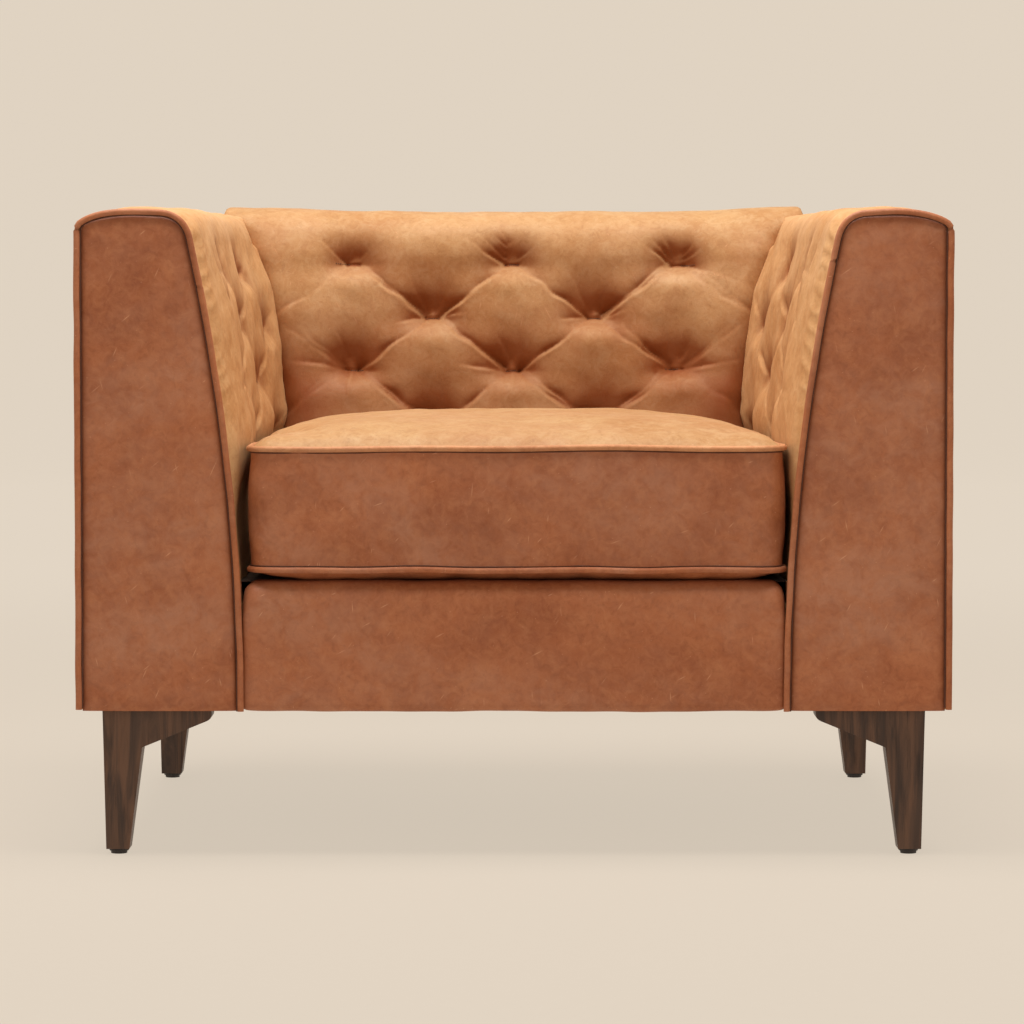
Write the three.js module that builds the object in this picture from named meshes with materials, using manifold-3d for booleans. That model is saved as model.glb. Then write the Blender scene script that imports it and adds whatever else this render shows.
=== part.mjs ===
// Low leather club armchair with a tufted inside, a loose box seat cushion and tapered bracket legs.
// Millimetres, +Z up, front towards -Y, origin on the floor under the middle. Left is -X and right is +X,
// as seen from the front.
import * as THREE from 'three';
import { mergeVertices } from 'three/addons/utils/BufferGeometryUtils.js';
import Module from 'manifold-3d';

const wasm = await Module();
wasm.setup();

// Driving dimensions
const WIDTH = 1000;
const DEPTH = 850;
const BACK_TOP = 750;
const ARM_TOP = 740;
const LEG_HEIGHT = 166;
const BODY_BASE = 167;
const SEAT_HALF = 308;
const DECK_TOP = 313;
const CUSHION_BASE = 314.5;
const CUSHION_TOP = 501;
const WELT_LOW = 330;
const WELT_HIGH = 466;

// Sheet, board and gap thicknesses
const LEATHER = 3;
const BOARD = 25;
const GAP = 0.4;
const WELT_RADIUS = 3.6;
const BACK_PAD = 52;

// Derived planes
const HALF = WIDTH / 2;
const FRONT = -DEPTH / 2;
const REAR = DEPTH / 2;
const FRAME_BASE = BODY_BASE + 2;
const POST_FRONT = FRONT + 9;
const POST_REAR = REAR - 7.4;
const RAIL_START = POST_FRONT + BOARD + GAP;
const RAIL_END = POST_REAR - BOARD - GAP;
const FRONT_RAIL_Y = FRONT + 27;
const SIDE_RAIL_X = SEAT_HALF + 37;
const BACK_SIDE_X = 270;

const LOOKS = {
  leather: { color: 0xb0704a, roughness: 0.55, metalness: 0 },
  walnut: { color: 0x4a3226, roughness: 0.5, metalness: 0 },
  frame_wood: { color: 0xc79a63, roughness: 0.8, metalness: 0 },
  steel: { color: 0x8d8f92, roughness: 0.35, metalness: 1 },
  foam: { color: 0xe8dfc6, roughness: 1, metalness: 0 },
  cloth: { color: 0x3b322c, roughness: 1, metalness: 0 },
  glide: { color: 0x2a1f1a, roughness: 0.6, metalness: 0 },
};

const chair = new THREE.Group();

function add(name, geometry, look) {
  const mesh = new THREE.Mesh(geometry, new THREE.MeshStandardMaterial(LOOKS[look]));
  mesh.name = name;
  chair.add(mesh);
}

// The mirror image of a piece, with its faces turned back outwards
function mirrorImage(geometry) {
  const image = geometry.index ? geometry.toNonIndexed() : geometry.clone();
  image.scale(-1, 1, 1);
  const position = image.attributes.position;
  const first = new THREE.Vector3();
  const second = new THREE.Vector3();
  for (let i = 0; i < position.count; i += 3) {
    first.fromBufferAttribute(position, i);
    second.fromBufferAttribute(position, i + 1);
    position.setXYZ(i, second.x, second.y, second.z);
    position.setXYZ(i + 1, first.x, first.y, first.z);
  }
  return image;
}

// A piece made for the +X side, and its mirror image for the other
function addPair(name, geometry, look) {
  add(`${name}_right`, geometry, look);
  add(`${name}_left`, mirrorImage(geometry), look);
}

// ---------- shape helpers ----------

const point = (x, y) => new THREE.Vector2(x, y);
const mirrored = (points) => points.map((p) => point(-p.x, p.y)).reverse();

// A shape drawn in X and Z, drawn out along Y from one place to another
function extrudeY(shape, from, to, steps = 1) {
  const geometry = new THREE.ExtrudeGeometry(shape, { depth: to - from, steps, bevelEnabled: false });
  const turn = new THREE.Matrix4().makeBasis(
    new THREE.Vector3(1, 0, 0),
    new THREE.Vector3(0, 0, 1),
    new THREE.Vector3(0, -1, 0),
  );
  return geometry.applyMatrix4(turn).translate(0, to, 0);
}

// A shape drawn in Y and Z, drawn out along X
function extrudeX(shape, from, to) {
  const geometry = new THREE.ExtrudeGeometry(shape, { depth: to - from, bevelEnabled: false });
  const turn = new THREE.Matrix4().makeBasis(
    new THREE.Vector3(0, 1, 0),
    new THREE.Vector3(0, 0, 1),
    new THREE.Vector3(1, 0, 0),
  );
  return geometry.applyMatrix4(turn).translate(from, 0, 0);
}

// A shape drawn in X and Y, drawn out upwards
function extrudeZ(shape, from, to) {
  const geometry = new THREE.ExtrudeGeometry(shape, { depth: to - from, bevelEnabled: false });
  return geometry.translate(0, 0, from);
}

function block(x0, x1, y0, y1, z0, z1) {
  const geometry = new THREE.BoxGeometry(Math.abs(x1 - x0), y1 - y0, z1 - z0);
  return geometry.translate((x0 + x1) / 2, (y0 + y1) / 2, (z0 + z1) / 2);
}

// Moves each vertex of a geometry by a function of its place
function warp(geometry, move) {
  const position = geometry.attributes.position;
  const vertex = new THREE.Vector3();
  for (let i = 0; i < position.count; i += 1) {
    vertex.fromBufferAttribute(position, i);
    move(vertex);
    position.setXYZ(i, vertex.x, vertex.y, vertex.z);
  }
  return geometry;
}

// The polyline pushed to its right-hand side by a distance
function pushed(points, distance) {
  return points.map((p, i) => {
    const before = points[Math.max(i - 1, 0)];
    const after = points[Math.min(i + 1, points.length - 1)];
    const along = after.clone().sub(before).normalize();
    return point(p.x + along.y * distance, p.y - along.x * distance);
  });
}

// A closed strip between two distances from a polyline
function band(points, near, far) {
  return [...pushed(points, near), ...pushed(points, far).reverse()];
}

// A route that runs straight from point to point, with one step of an extrusion to each run
class Route extends THREE.CatmullRomCurve3 {
  constructor(points, closed) {
    super(points, closed, 'catmullrom', 0);
    this.runs = closed ? points.length : points.length - 1;
  }

  getPointAt(u, target) {
    return this.getPoint(u, target);
  }

  getTangentAt(u, target) {
    return this.getTangent(u, target);
  }
}

// A round bead or wire along a route
function bead(radius, route, sides = 6) {
  const section = new THREE.Shape();
  for (let i = 0; i < sides; i += 1) {
    const angle = (2 * Math.PI * i) / sides;
    const corner = point(radius * Math.cos(angle), radius * Math.sin(angle));
    if (i === 0) {
      section.moveTo(corner.x, corner.y);
    } else {
      section.lineTo(corner.x, corner.y);
    }
  }
  const options = { steps: route.runs, bevelEnabled: false, extrudePath: route };
  return new THREE.ExtrudeGeometry(section, options);
}

function toManifold(geometry) {
  const bare = geometry.clone();
  bare.deleteAttribute('normal');
  bare.deleteAttribute('uv');
  const merged = mergeVertices(bare, 1e-3);
  const vertProperties = new Float32Array(merged.attributes.position.array);
  const triVerts = new Uint32Array(merged.index.array);
  return new wasm.Manifold(new wasm.Mesh({ numProp: 3, vertProperties, triVerts }));
}

function fromManifold(solid) {
  const { vertProperties, triVerts } = solid.getMesh();
  const geometry = new THREE.BufferGeometry();
  geometry.setAttribute('position', new THREE.BufferAttribute(vertProperties, 3));
  geometry.setIndex(new THREE.BufferAttribute(triVerts, 1));
  return geometry;
}

// ---------- the arm's outline ----------

// The arm's inner face leans away from the seat towards its top
function innerX(z) {
  const rise = THREE.MathUtils.clamp((z - BODY_BASE) / (ARM_TOP - BODY_BASE), 0, 1);
  return SEAT_HALF + 64 * rise ** 2.1;
}

// From the inner foot, up the inner face, over the top and down the outer side
function armOutline(innerFoot, outerFoot) {
  const bend = DECK_TOP + 0.6;
  const shoulder = ARM_TOP - 31;
  const path = new THREE.Path();
  path.moveTo(innerX(innerFoot), innerFoot);
  if (innerFoot < bend) {
    path.lineTo(innerX(bend), bend);
  }
  const lifts = 9;
  for (let i = 1; i <= lifts; i += 1) {
    const z = THREE.MathUtils.lerp(bend, shoulder, i / lifts);
    path.lineTo(innerX(z), z);
  }
  path.quadraticCurveTo(372, ARM_TOP - 5, 398, ARM_TOP - 1.5);
  path.lineTo(430, ARM_TOP);
  path.quadraticCurveTo(472, ARM_TOP, HALF - 8, ARM_TOP - 12);
  path.quadraticCurveTo(HALF, ARM_TOP - 16, HALF, ARM_TOP - 26);
  if (outerFoot < ARM_TOP - 27) {
    path.lineTo(HALF, outerFoot);
  }
  return path.getPoints(5);
}

// Padding swells the inside of the arm behind its front edge, and crowns its top
function swellArm(v) {
  const buried = Math.max(v.x - innerX(v.z), 0);
  const back = THREE.MathUtils.smoothstep(v.y, FRONT + 5, FRONT + 150);
  const height = THREE.MathUtils.smoothstep(v.z, 400, 500);
  const flattening = 1 - 0.3 * THREE.MathUtils.smoothstep(v.z, 640, ARM_TOP - 31);
  const fullness = back * (14 + 20 * THREE.MathUtils.smoothstep(v.y, -100, 190));
  v.x -= fullness * height * flattening * Math.max(1 - buried / 33, 0);
  v.z += 6 * back * THREE.MathUtils.smoothstep(v.z, ARM_TOP - 33, ARM_TOP - 4);
}

const ARM_STEPS = 10;
const ARM_REAR = REAR - 3.4;
const POST_INSET = 34;

// The edge of the arm's board: inside the padding, out to the side cover
function postEdge(base, inset) {
  const top = ARM_TOP - inset;
  const points = [];
  const lifts = 6;
  for (let i = 0; i <= lifts; i += 1) {
    const z = THREE.MathUtils.lerp(base, ARM_TOP - 50, i / lifts);
    points.push(point(innerX(z) + inset, z));
  }
  points.push(point(402, top), point(HALF - 5.4, top));
  return points;
}

// ---------- the back's outline ----------

// The inside of the back is raked
const backY = (z) => 165 + 0.19 * (z - 490);

function backOutline(foot, rearFoot) {
  const shoulder = BACK_TOP - 60;
  const path = new THREE.Path();
  path.moveTo(backY(foot), foot);
  path.lineTo(backY(shoulder), shoulder);
  path.quadraticCurveTo(backY(BACK_TOP - 6), BACK_TOP - 4, backY(shoulder) + 75, BACK_TOP);
  path.lineTo(REAR - 55, BACK_TOP - 1);
  path.quadraticCurveTo(REAR - 1, BACK_TOP - 2, REAR, rearFoot);
  return path.getPoints(6);
}

// Everything behind the back's padding and under its top, where the arm's padding stops
function backHollow() {
  const top = BACK_TOP - 53;
  const foot = 200;
  const shape = new THREE.Shape([
    point(backY(foot) + 30, foot),
    point(REAR + 20, foot),
    point(REAR + 20, top),
    point(backY(top) + 30, top),
  ]);
  return toManifold(extrudeX(shape, -403, 403));
}

// The room an arm takes, a hair larger than its cover
function armRoom(foot) {
  const outline = armOutline(foot, ARM_TOP - 26);
  const shape = new THREE.Shape([...pushed(outline, 2 - 2 * GAP), point(HALF, foot)]);
  return warp(extrudeY(shape, POST_FRONT, ARM_REAR, ARM_STEPS), swellArm);
}

// ---------- hardwood frame ----------

function makeFrame() {
  const railHigh = FRAME_BASE + 120;
  const between = SEAT_HALF + POST_INSET - GAP;
  const frontRail = block(-between, between, FRONT_RAIL_Y, FRONT_RAIL_Y + BOARD, FRAME_BASE, railHigh);
  add('front_rail', frontRail, 'frame_wood');
  const rearRail = block(-between, between, POST_REAR - BOARD, POST_REAR, FRAME_BASE, railHigh);
  add('rear_rail', rearRail, 'frame_wood');
  const topFoot = BACK_TOP - 110;
  const topHalf = innerX(topFoot) + POST_INSET - 2 * GAP;
  const topRail = block(-topHalf, topHalf, POST_REAR - BOARD, POST_REAR, topFoot, BACK_TOP - 54);
  add('back_top_rail', topRail, 'frame_wood');
  const seatBack = block(1 - BACK_SIDE_X, BACK_SIDE_X - 1, 190, 190 + BOARD, railHigh - 60, railHigh);
  add('seat_back_rail', seatBack, 'frame_wood');

  const post = new THREE.Shape([...postEdge(FRAME_BASE, POST_INSET), point(HALF - 5.4, FRAME_BASE)]);
  addPair('front_post', extrudeY(post, POST_FRONT, POST_FRONT + BOARD), 'frame_wood');
  addPair('rear_post', extrudeY(post, POST_REAR - BOARD, POST_REAR), 'frame_wood');
  const sideRailTop = DECK_TOP - 7.6;
  const sideRail = block(SIDE_RAIL_X, SIDE_RAIL_X + BOARD, RAIL_START, RAIL_END, FRAME_BASE, sideRailTop);
  addPair('side_rail', sideRail, 'frame_wood');
  const armRail = block(407, 478, RAIL_START, RAIL_END, ARM_TOP - 66, ARM_TOP - 36);
  addPair('arm_top_rail', armRail, 'frame_wood');
  addPair('back_side_frame', backSideFrame(), 'frame_wood');
  addPair('corner_block_front', cornerBlock(FRONT_RAIL_Y + BOARD + GAP, 70, 70), 'frame_wood');
  addPair('corner_block_rear', cornerBlock(RAIL_END, 43, -70), 'frame_wood');
}

// The raked board that carries the back's webbing
function backSideFrame() {
  const top = BACK_TOP - 54;
  const edge = BACK_PAD + 3;
  const shape = new THREE.Shape([
    point(backY(FRAME_BASE) + edge, FRAME_BASE),
    point(RAIL_END, FRAME_BASE),
    point(RAIL_END, top),
    point(backY(top) + edge, top),
  ]);
  return extrudeX(shape, BACK_SIDE_X, BACK_SIDE_X + 30);
}

// A glued triangle inside a corner of the seat frame
function cornerBlock(y, reachX, reachY) {
  const x = SIDE_RAIL_X - GAP;
  const corners = [point(x, y), point(x - reachX, y), point(x, y + reachY)];
  return extrudeZ(new THREE.Shape(corners), 225, 285);
}

// ---------- seat suspension and back webbing ----------

// A sinuous wire: loops from side to side that run from the front rail to the seat back rail
function springRoute(x, from, to) {
  const loops = 25;
  const reach = 24;
  const pitch = (to - from) / loops;
  const points = [];
  for (let i = 0; i < loops; i += 1) {
    const side = i % 2 === 0 ? reach : -reach;
    const arch = 6 * Math.sin((Math.PI * (i + 0.5)) / loops);
    for (const part of [0.2, 0.8]) {
      points.push(new THREE.Vector3(x + side, from + pitch * (i + part), 293.5 + arch));
    }
  }
  return new Route(points, false);
}

function makeSuspension() {
  const wire = 1.9;
  const springs = 5;
  for (let i = 0; i < springs; i += 1) {
    const route = springRoute((i - (springs - 1) / 2) * 100, FRONT_RAIL_Y + 4, 211);
    add(`seat_spring_${i + 1}`, bead(wire, route, 4), 'steel');
  }
  const clipBase = FRAME_BASE + 120 + GAP;
  const clipHalf = 240;
  for (const [name, y] of [['front', FRONT_RAIL_Y + 4], ['rear', 197]]) {
    add(`spring_clips_${name}`, block(-clipHalf, clipHalf, y, y + 12, clipBase, clipBase + 1.4), 'steel');
  }
  const straps = { lower: 430, upper: 580 };
  for (const [name, foot] of Object.entries(straps)) {
    const head = foot + 60;
    const shape = new THREE.Shape([
      point(backY(foot) + BACK_PAD + 0.8, foot),
      point(backY(foot) + BACK_PAD + 2.6, foot),
      point(backY(head) + BACK_PAD + 2.6, head),
      point(backY(head) + BACK_PAD + 0.8, head),
    ]);
    add(`back_webbing_${name}`, extrudeX(shape, -BACK_SIDE_X - 28, BACK_SIDE_X + 28), 'cloth');
  }
  const deckHalf = SIDE_RAIL_X + 21;
  const deckFront = FRONT_RAIL_Y + BOARD + GAP;
  add('seat_deck', block(-deckHalf, deckHalf, deckFront, 185, DECK_TOP - 7, DECK_TOP), 'cloth');
}

// ---------- arms ----------

function makeArms() {
  const foot = DECK_TOP + 0.6;
  const skirt = ARM_TOP - 26;
  const fitted = (shape) => {
    const whole = warp(extrudeY(shape, POST_FRONT, ARM_REAR, ARM_STEPS), swellArm);
    return fromManifold(toManifold(whole).subtract(backHollow()));
  };
  const skin = band(armOutline(foot, skirt), 2, 2 + LEATHER);
  addPair('inside_arm_cover', fitted(new THREE.Shape(skin)), 'leather');

  const outer = pushed(armOutline(foot, skirt), 2 + LEATHER + 3 * GAP);
  const inner = postEdge(foot, POST_INSET - GAP).reverse();
  addPair('arm_foam', fitted(new THREE.Shape([...outer, ...inner])), 'foam');

  const cheek = HALF - 2 - LEATHER;
  const outside = block(cheek, HALF - 2, POST_FRONT, ARM_REAR, BODY_BASE, ARM_TOP - 28);
  addPair('outside_arm_cover', outside, 'leather');

  const outline = armOutline(BODY_BASE, BODY_BASE);
  const face = new THREE.Shape(pushed(outline, 2 * WELT_RADIUS + 2 * GAP));
  addPair('arm_facing', extrudeY(face, FRONT + 2.5, POST_FRONT - GAP), 'leather');

  const line = pushed(outline, WELT_RADIUS);
  const route = new Route(line.map((p) => new THREE.Vector3(p.x, FRONT + WELT_RADIUS, p.y)), false);
  addPair('arm_welt', bead(WELT_RADIUS, route), 'leather');
}

// ---------- back ----------

const BACK_REACH = 371;

function makeBack() {
  const foot = DECK_TOP + 1.5;
  const rearFoot = ARM_TOP - 28;
  const room = armRoom(foot - 10);
  const rooms = toManifold(room).add(toManifold(mirrorImage(room)));
  const fitted = (shape) => {
    const whole = toManifold(extrudeX(shape, -BACK_REACH, BACK_REACH));
    return fromManifold(whole.subtract(rooms));
  };
  const line = backOutline(foot, rearFoot);
  add('inside_back_cover', fitted(new THREE.Shape(band(line, 0, LEATHER))), 'leather');

  const top = BACK_TOP - 53;
  const outer = pushed(line, LEATHER + GAP);
  const last = outer[outer.length - 1];
  const foam = new THREE.Shape([
    ...outer,
    point(last.x, top + GAP),
    point(backY(top) + BACK_PAD, top + GAP),
    point(backY(foot) + BACK_PAD, foot),
  ]);
  add('back_foam', fitted(foam), 'foam');
  add('outside_back_cover', outsideBack(rearFoot - 2 * GAP), 'leather');
}

// One panel across the rear, shaped over the end of each arm
function outsideBack(middleTop) {
  const overArm = pushed(armOutline(BODY_BASE, BODY_BASE), 2).filter((p) => p.y > middleTop);
  const start = BACK_REACH + GAP;
  const right = [point(start, middleTop), ...overArm.filter((p) => p.x > start), point(HALF - 2, BODY_BASE)];
  const shape = new THREE.Shape([...right, ...mirrored(right)]);
  return extrudeY(shape, REAR - LEATHER, REAR);
}

// ---------- front rail and underside ----------

function makeFrontRail() {
  const face = FRONT + 6;
  const top = DECK_TOP + 1;
  const path = new THREE.Path();
  path.moveTo(face, BODY_BASE);
  path.lineTo(face, top - 22);
  path.quadraticCurveTo(face, top, face + 22, top);
  path.lineTo(FRONT_RAIL_Y + BOARD, top);
  const line = path.getPoints(5);
  const reach = SEAT_HALF - 0.6;
  add('front_rail_cover', extrudeX(new THREE.Shape(band(line, 0, LEATHER)), -reach, reach), 'leather');

  const shelf = FRAME_BASE + 130;
  const pad = new THREE.Shape([
    ...pushed(line, LEATHER + GAP),
    point(FRONT_RAIL_Y + BOARD, shelf),
    point(FRONT_RAIL_Y - GAP, shelf),
    point(FRONT_RAIL_Y - GAP, BODY_BASE),
  ]);
  add('front_edge_pad', extrudeX(pad, -reach, reach), 'foam');

  const dustHalf = HALF - 5.4;
  const dustTop = BODY_BASE + 1.6;
  const dust = block(-dustHalf, dustHalf, FRONT_RAIL_Y, REAR - LEATHER - GAP, LEG_HEIGHT + GAP, dustTop);
  add('dust_cover', dust, 'cloth');
}

// ---------- legs ----------

const LEG_DEPTH = 42;
const LEG_KNEE = 124;
const GLIDE_HEIGHT = 6;

// A post that narrows downwards, with a bracket reaching towards the middle
function legShape() {
  const path = new THREE.Path();
  path.moveTo(471, LEG_HEIGHT);
  path.lineTo(470, LEG_KNEE);
  path.lineTo(467.8, GLIDE_HEIGHT + GAP);
  path.lineTo(441.3, GLIDE_HEIGHT + GAP);
  path.lineTo(425.8, LEG_KNEE);
  path.lineTo(352, 154);
  path.quadraticCurveTo(345.8, 156.5, 345.8, 162);
  path.lineTo(345.8, LEG_HEIGHT);
  return new THREE.Shape(path.getPoints(4));
}

function makeLegs(end, middle) {
  const leg = extrudeY(legShape(), -LEG_DEPTH / 2, LEG_DEPTH / 2);
  warp(leg, (v) => {
    const narrowing = THREE.MathUtils.clamp(THREE.MathUtils.mapLinear(v.z, 0, LEG_KNEE, 0.78, 1), 0, 1);
    v.y = middle + v.y * narrowing;
  });
  addPair(`leg_${end}`, leg, 'walnut');

  const outline = [
    point(0, 0),
    point(9.4, 0),
    point(9.4, 3),
    point(11.2, 3),
    point(11.2, GLIDE_HEIGHT),
    point(0, GLIDE_HEIGHT),
  ];
  const glide = new THREE.LatheGeometry(outline, 16).rotateX(Math.PI / 2);
  addPair(`glide_${end}`, glide.translate(454.5, middle, 0), 'glide');
}

// ---------- loose seat cushion ----------

const CUSHION_FRONT = FRONT + 3;
const CUSHION_REAR = 126;

// The cushion's plan, a little narrower at the back
function cushionPlan(inset) {
  const frontHalf = 304 - inset;
  const rearHalf = 288 - inset;
  const y0 = CUSHION_FRONT + inset;
  const y1 = CUSHION_REAR - inset;
  const round = 26 - inset / 2;
  const path = new THREE.Path();
  path.moveTo(frontHalf - round, y0);
  path.quadraticCurveTo(frontHalf, y0, frontHalf - 1, y0 + round);
  path.lineTo(rearHalf + 1, y1 - round);
  path.quadraticCurveTo(rearHalf, y1, rearHalf - round, y1);
  const right = path.getPoints(5);
  return [...right, ...mirrored(right)];
}

// A welt round the cushion's edge
function cushionWelt(z) {
  const points = cushionPlan(1.5).map((p) => new THREE.Vector3(p.x, p.y, z));
  return bead(WELT_RADIUS - 0.2, new Route(points, true));
}

// A panel that is flat on one side and crowned on the other, cut to the cushion's plan
function cushionPanel(flatZ, edgeZ, crown, cells) {
  const spanX = 612;
  const spanY = CUSHION_REAR - CUSHION_FRONT;
  const up = Math.sign(edgeZ - flatZ);
  const slab = new THREE.BoxGeometry(spanX, spanY, 2, cells, cells, 1);
  slab.translate(0, (CUSHION_FRONT + CUSHION_REAR) / 2, 0);
  warp(slab, (v) => {
    const u = Math.abs(v.x) / (spanX / 2);
    const w = Math.abs(v.y - (CUSHION_FRONT + CUSHION_REAR) / 2) / (spanY / 2);
    const swell = crown * (1 - u ** 3.6) * (1 - w ** 3.6);
    const outerFace = v.z * up > 0;
    v.z = outerFace ? edgeZ + up * swell : flatZ;
  });
  const plan = extrudeZ(new THREE.Shape(cushionPlan(5.6)), 200, 600);
  return fromManifold(toManifold(slab).intersect(toManifold(plan)));
}

function makeCushion() {
  const boxingLow = WELT_LOW + WELT_RADIUS + 0.3;
  const boxingHigh = WELT_HIGH - WELT_RADIUS - 0.3;
  const boxing = new THREE.Shape(cushionPlan(0));
  boxing.holes.push(new THREE.Path(cushionPlan(LEATHER)));
  add('cushion_boxing', extrudeZ(boxing, boxingLow, boxingHigh), 'leather');
  const core = new THREE.Shape(cushionPlan(LEATHER + GAP));
  add('cushion_core', extrudeZ(core, boxingLow, boxingHigh), 'foam');
  const topPanel = cushionPanel(boxingHigh + GAP, WELT_HIGH + 3, CUSHION_TOP - WELT_HIGH - 3, 10);
  add('cushion_top_panel', topPanel, 'leather');
  const lowPanel = cushionPanel(boxingLow - GAP, WELT_LOW - 3, WELT_LOW - 3 - CUSHION_BASE, 6);
  add('cushion_bottom_panel', lowPanel, 'leather');
  add('cushion_welt_top', cushionWelt(WELT_HIGH), 'leather');
  add('cushion_welt_bottom', cushionWelt(WELT_LOW), 'leather');
  makeZip();
}

// The zip lies along the rear boxing, and its slider rides on the teeth
function makeZip() {
  const face = CUSHION_REAR + GAP;
  const middle = (WELT_LOW + WELT_HIGH) / 2;
  const tape = new THREE.Shape([
    point(face, middle - 9),
    point(face + 1, middle - 9),
    point(face + 1, middle - 2.5),
    point(face + 2.6, middle - 2.5),
    point(face + 2.6, middle + 2.5),
    point(face + 1, middle + 2.5),
    point(face + 1, middle + 9),
    point(face, middle + 9),
  ]);
  const zipHalf = 232;
  add('zip_tape', extrudeX(tape, -zipHalf, zipHalf), 'cloth');
  const sliderX = zipHalf - 12;
  const slider = new THREE.Shape(
    [
      [-5, 4],
      [-4, -7],
      [-3, -8],
      [-3.6, -32],
      [3.6, -32],
      [3, -8],
      [4, -7],
      [5, 4],
      [3, 6.5],
      [-3, 6.5],
    ].map(([x, z]) => point(sliderX + x, middle + z)),
  );
  add('zip_slider', extrudeY(slider, face + 2.9, face + 5.2), 'steel');
}

// ---------- assembly ----------

makeFrame();
makeSuspension();
makeArms();
makeBack();
makeFrontRail();
makeLegs('front', FRONT + 20 + LEG_DEPTH / 2);
makeLegs('rear', REAR - 30 - LEG_DEPTH / 2);
makeCushion();

export default chair;
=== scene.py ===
"""Looks of a low leather club armchair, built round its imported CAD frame.

Metres in the scene, +Z up, front towards -Y. Left is -X and right is +X, as seen from the front.
The upholstery functions work in millimetres, as the part's source does, and mesh() turns them into metres.
"""
import math

import bmesh
import bpy
import numpy as np
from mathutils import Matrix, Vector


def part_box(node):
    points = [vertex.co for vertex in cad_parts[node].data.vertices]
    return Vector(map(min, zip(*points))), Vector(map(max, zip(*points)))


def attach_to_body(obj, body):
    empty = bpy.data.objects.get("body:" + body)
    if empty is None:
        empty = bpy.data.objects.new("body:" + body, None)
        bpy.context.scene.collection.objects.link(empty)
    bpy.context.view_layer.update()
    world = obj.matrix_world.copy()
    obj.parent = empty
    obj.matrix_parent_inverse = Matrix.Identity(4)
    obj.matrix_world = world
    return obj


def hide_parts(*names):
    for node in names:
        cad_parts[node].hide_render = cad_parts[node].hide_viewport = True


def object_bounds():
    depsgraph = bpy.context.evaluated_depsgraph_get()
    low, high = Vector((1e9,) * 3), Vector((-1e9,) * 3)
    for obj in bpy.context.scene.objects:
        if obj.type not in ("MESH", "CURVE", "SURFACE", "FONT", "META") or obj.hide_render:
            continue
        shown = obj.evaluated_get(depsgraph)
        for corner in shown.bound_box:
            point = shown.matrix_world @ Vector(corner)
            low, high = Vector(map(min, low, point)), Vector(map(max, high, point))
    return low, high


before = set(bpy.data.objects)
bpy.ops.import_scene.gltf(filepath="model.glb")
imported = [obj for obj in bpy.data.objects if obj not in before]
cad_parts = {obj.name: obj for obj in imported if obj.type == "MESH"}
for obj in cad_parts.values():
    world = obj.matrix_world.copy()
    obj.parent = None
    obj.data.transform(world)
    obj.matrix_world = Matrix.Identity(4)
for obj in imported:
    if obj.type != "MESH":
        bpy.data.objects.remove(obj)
cad_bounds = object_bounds()
MM = 0.001

# ---------- driving dimensions, millimetres ----------

FRONT = cad_bounds[0].y / MM
REAR = cad_bounds[1].y / MM
BODY_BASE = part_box("outside_arm_cover_right")[0].z / MM
ARM_TOP = 740.0
SHOULDER = ARM_TOP - 31
BACK_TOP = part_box("inside_back_cover")[1].z / MM
BACK_SHOULDER = BACK_TOP - 60
DECK_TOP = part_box("seat_deck")[1].z / MM
SEAT_HALF = 308.0
HALF = 500.0
BACK_HALF = 376.0
WELT = 3.6
WELT_ALLOWANCE = 2 * WELT + 0.5
LEATHER = 2.6
ARM_FOAM = 31.0
BACK_FOAM = 49.0
CUSHION_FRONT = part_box("cushion_boxing")[0].y / MM
CUSHION_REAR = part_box("cushion_boxing")[1].y / MM
CUSHION_MIDDLE = (CUSHION_FRONT + CUSHION_REAR) / 2
CUSHION_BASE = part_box("cushion_bottom_panel")[0].z / MM
CUSHION_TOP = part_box("cushion_top_panel")[1].z / MM
CUSHION_HALF = 304.0
CUSHION_CORNER = 30.0
WELT_LOW = 330.0
WELT_HIGH = 466.0
TUFT_PITCH = 209.0
TUFT_RISE = 69.0
TUFT_TOP = 684.0
SLOT = 8.5
STITCH = 2.5
RAIL_REACH = 2.5
SIDES = (("left", -1), ("right", 1))


# ---------- numbers ----------

def smooth(x, a, b):
    t = np.clip((x - a) / (b - a), 0, 1)
    return t * t * (3 - 2 * t)


def ripple(u, v, wave, seed):
    """Smooth seeded unevenness, about -1 to 1, whose bumps are about wave millimetres apart."""
    waves = 7
    rng = np.random.default_rng(seed)
    total = np.zeros(np.broadcast(u, v).shape)
    for _ in range(waves):
        turn = rng.uniform(0, 2 * math.pi)
        size = 2 * math.pi / (wave * rng.uniform(0.7, 1.7))
        phase = rng.uniform(0, 2 * math.pi)
        total += np.sin(size * (u * math.cos(turn) + v * math.sin(turn)) + phase)
    return total / math.sqrt(waves) / 1.4


def quadratic(a, b, c, steps):
    t = np.linspace(0, 1, steps)[:, None]
    a, b, c = (np.array(p, float) for p in (a, b, c))
    return (1 - t) ** 2 * a + 2 * t * (1 - t) * b + t * t * c


def resample(line, places):
    """Points at the given distances along a polyline."""
    run = np.concatenate([[0], np.cumsum(np.linalg.norm(np.diff(line, axis=0), axis=1))])
    return np.stack([np.interp(places, run, line[:, k]) for k in range(line.shape[1])], 1)


def length(line):
    return float(np.linalg.norm(np.diff(line, axis=0), axis=1).sum())


def normals(line):
    """The left-hand normal of each point of a polyline in a plane."""
    along = np.gradient(line, axis=0)
    along /= np.linalg.norm(along, axis=1)[:, None]
    return np.stack([-along[:, 1], along[:, 0]], 1)


def spaced(*spans):
    """Places from end to end, each span given as (from, to, step)."""
    parts = [np.linspace(a, b, max(int(round((b - a) / s)), 1), endpoint=False) for a, b, s in spans]
    return np.append(np.concatenate(parts), spans[-1][1])


def field(*parts):
    """Coordinates spread over one grid of points."""
    return np.stack(np.broadcast_arrays(*parts), 2)


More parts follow.
